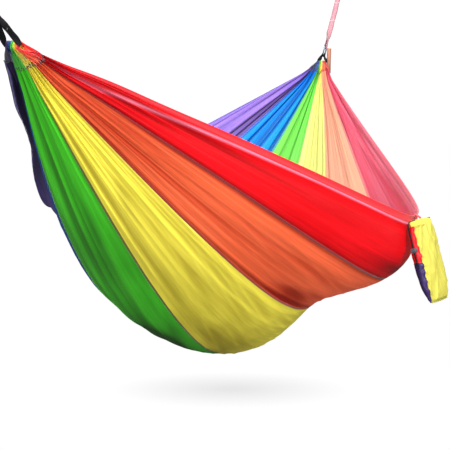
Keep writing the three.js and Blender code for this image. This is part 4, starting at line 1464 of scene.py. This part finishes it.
def finish_hard_part(obj, material, sharp_angle):
    if len(obj.material_slots) == 0:
        obj.data.materials.append(material)
    for slot in obj.material_slots:
        slot.material = material
    obj.data.polygons.foreach_set("use_smooth", [True] * len(obj.data.polygons))
    obj.data.set_sharp_from_angle(angle=math.radians(sharp_angle))
    obj.modifiers.new("soft edges", "WEIGHTED_NORMAL").keep_sharp = True


for material, sharp_angle, pieces in HARD_PARTS:
    for piece in pieces:
        finish_hard_part(frame["nodes"][piece], material, sharp_angle)


# ---------------------------------------------------------------- floor, light, camera
scene = bpy.context.scene


def floor_material():
    """Near white to the camera, with a painted soft oval shadow at a fixed place on the floor;
    it sends little light back up.
    """
    middle_x, middle_y, half_width, half_depth = 0.090, 0.037, 0.372, 0.240   # metres
    shader = new_shader("pale_floor")
    camera_ray = shader.node("ShaderNodeLightPath", output="Is Camera Ray")
    x, y, _ = shader.split(shader.node("ShaderNodeNewGeometry", output="Position"))
    x, y = x - middle_x, y - middle_y
    cosine, sine = math.cos(VIEW_HEADING), math.sin(VIEW_HEADING)
    side = (x * sine - y * cosine) * (1 / half_width)
    deep = (x * cosine + y * sine) * (1 / half_depth)
    distance = (side * side + deep * deep).math("SQRT")
    # painted shadow, darkest in the middle of the oval
    tone = shader.ramp(distance, [(0.0, grey(0.775)), (0.12, grey(0.79)),
                                  (0.85, grey(0.95)), (1.0, grey(0.975))])
    seen = shader.node("ShaderNodeEmission", {"Color": tone, "Strength": 1.03})
    bounced = shader.node("ShaderNodeBsdfDiffuse", {"Color": grey(0.10)})
    return shader.finish(shader.mix_shader(camera_ray, bounced, seen))


def add_floor():
    mesh = bpy.data.meshes.new("floor")
    corners = [(x * FLOOR_HALF, y * FLOOR_HALF, FLOOR_Z)
               for x, y in ((-1, -1), (1, -1), (1, 1), (-1, 1))]
    mesh.from_pydata(corners, [], [(0, 1, 2, 3)])
    floor = bpy.data.objects.new("floor", mesh)
    scene.collection.objects.link(floor)
    floor.data.materials.append(floor_material())


def add_world():
    """White to the camera; a gradient from a dark floor to a bright sky for lighting."""
    world = bpy.data.worlds.new("studio")
    scene.world = world
    shader = Shader(world, "ShaderNodeOutputWorld")
    camera_ray = shader.node("ShaderNodeLightPath", output="Is Camera Ray")
    up = shader.split(shader.node("ShaderNodeTexCoord", output="Generated"))[2]
    sky = shader.ramp(up.fitted(gain=0.5, offset=0.5), [
        (0.0, (0.05, 0.05, 0.06, 1)), (0.48, (0.16, 0.16, 0.17, 1)),
        (0.64, (0.56, 0.57, 0.60, 1)), (1.0, grey(0.95))])
    lighting = shader.node("ShaderNodeBackground", {"Color": sky, "Strength": 1.0})
    seen = shader.node("ShaderNodeBackground", {"Color": grey(1), "Strength": 1.05})
    shader.finish(shader.mix_shader(camera_ray, lighting, seen))


def add_looking(name, data, location, direction):
    """Adds a light or camera that looks along direction."""
    obj = bpy.data.objects.new(name, data)
    scene.collection.objects.link(obj)
    obj.location = location
    obj.rotation_mode = "QUATERNION"
    obj.rotation_quaternion = direction.to_track_quat("-Z", "Y")
    return obj


# Area lights, metres from the middle of the hammock: name, place, target, size, watts.
LIGHTS = [
    ("key", (-2.5, -3.9, 1.9), (-0.2, 0, 0.1), 1.6, 320),
    ("front", (-4.7, -0.4, 0.9), (-0.6, 0, 0.1), 1.2, 150),
    ("top", (0.6, -0.2, 4.0), (0, 0, 0), 2.6, 110),
    ("back", (2.2, 3.2, 2.6), (0.4, 0, 0.1), 1.8, 90),
]


def add_lights():
    middle = Vector(metre_tuple(0, 0, -350))
    for name, place, target, size, watts in LIGHTS:
        light = bpy.data.lights.new(name, "AREA")
        light.energy = watts
        light.size = size
        location = middle + Vector(place)
        add_looking(name, light, location, (middle + Vector(target)) - location)


def add_camera():
    """At the near end, just below the ridge line, looking along the hammock."""
    direction = Vector((math.cos(VIEW_HEADING) * math.cos(VIEW_PITCH),
                        math.sin(VIEW_HEADING) * math.cos(VIEW_PITCH), math.sin(VIEW_PITCH)))
    camera = bpy.data.cameras.new("camera")
    camera.sensor_fit = "HORIZONTAL"
    camera.sensor_width = 36.0
    camera.lens = CAMERA_LENS
    camera.clip_start = 0.05
    camera.clip_end = 200.0
    scene.camera = add_looking("camera", camera, Vector(metre_tuple(*CAMERA_AT)), direction)


add_floor()
add_world()
add_lights()
add_camera()
scene.view_settings.view_transform = "Standard"
scene.view_settings.look = "None"
scene.view_settings.exposure = 0.0
scene.view_settings.gamma = 1.0

# ---------------------------------------------------------------- finish
bpy.context.view_layer.update()
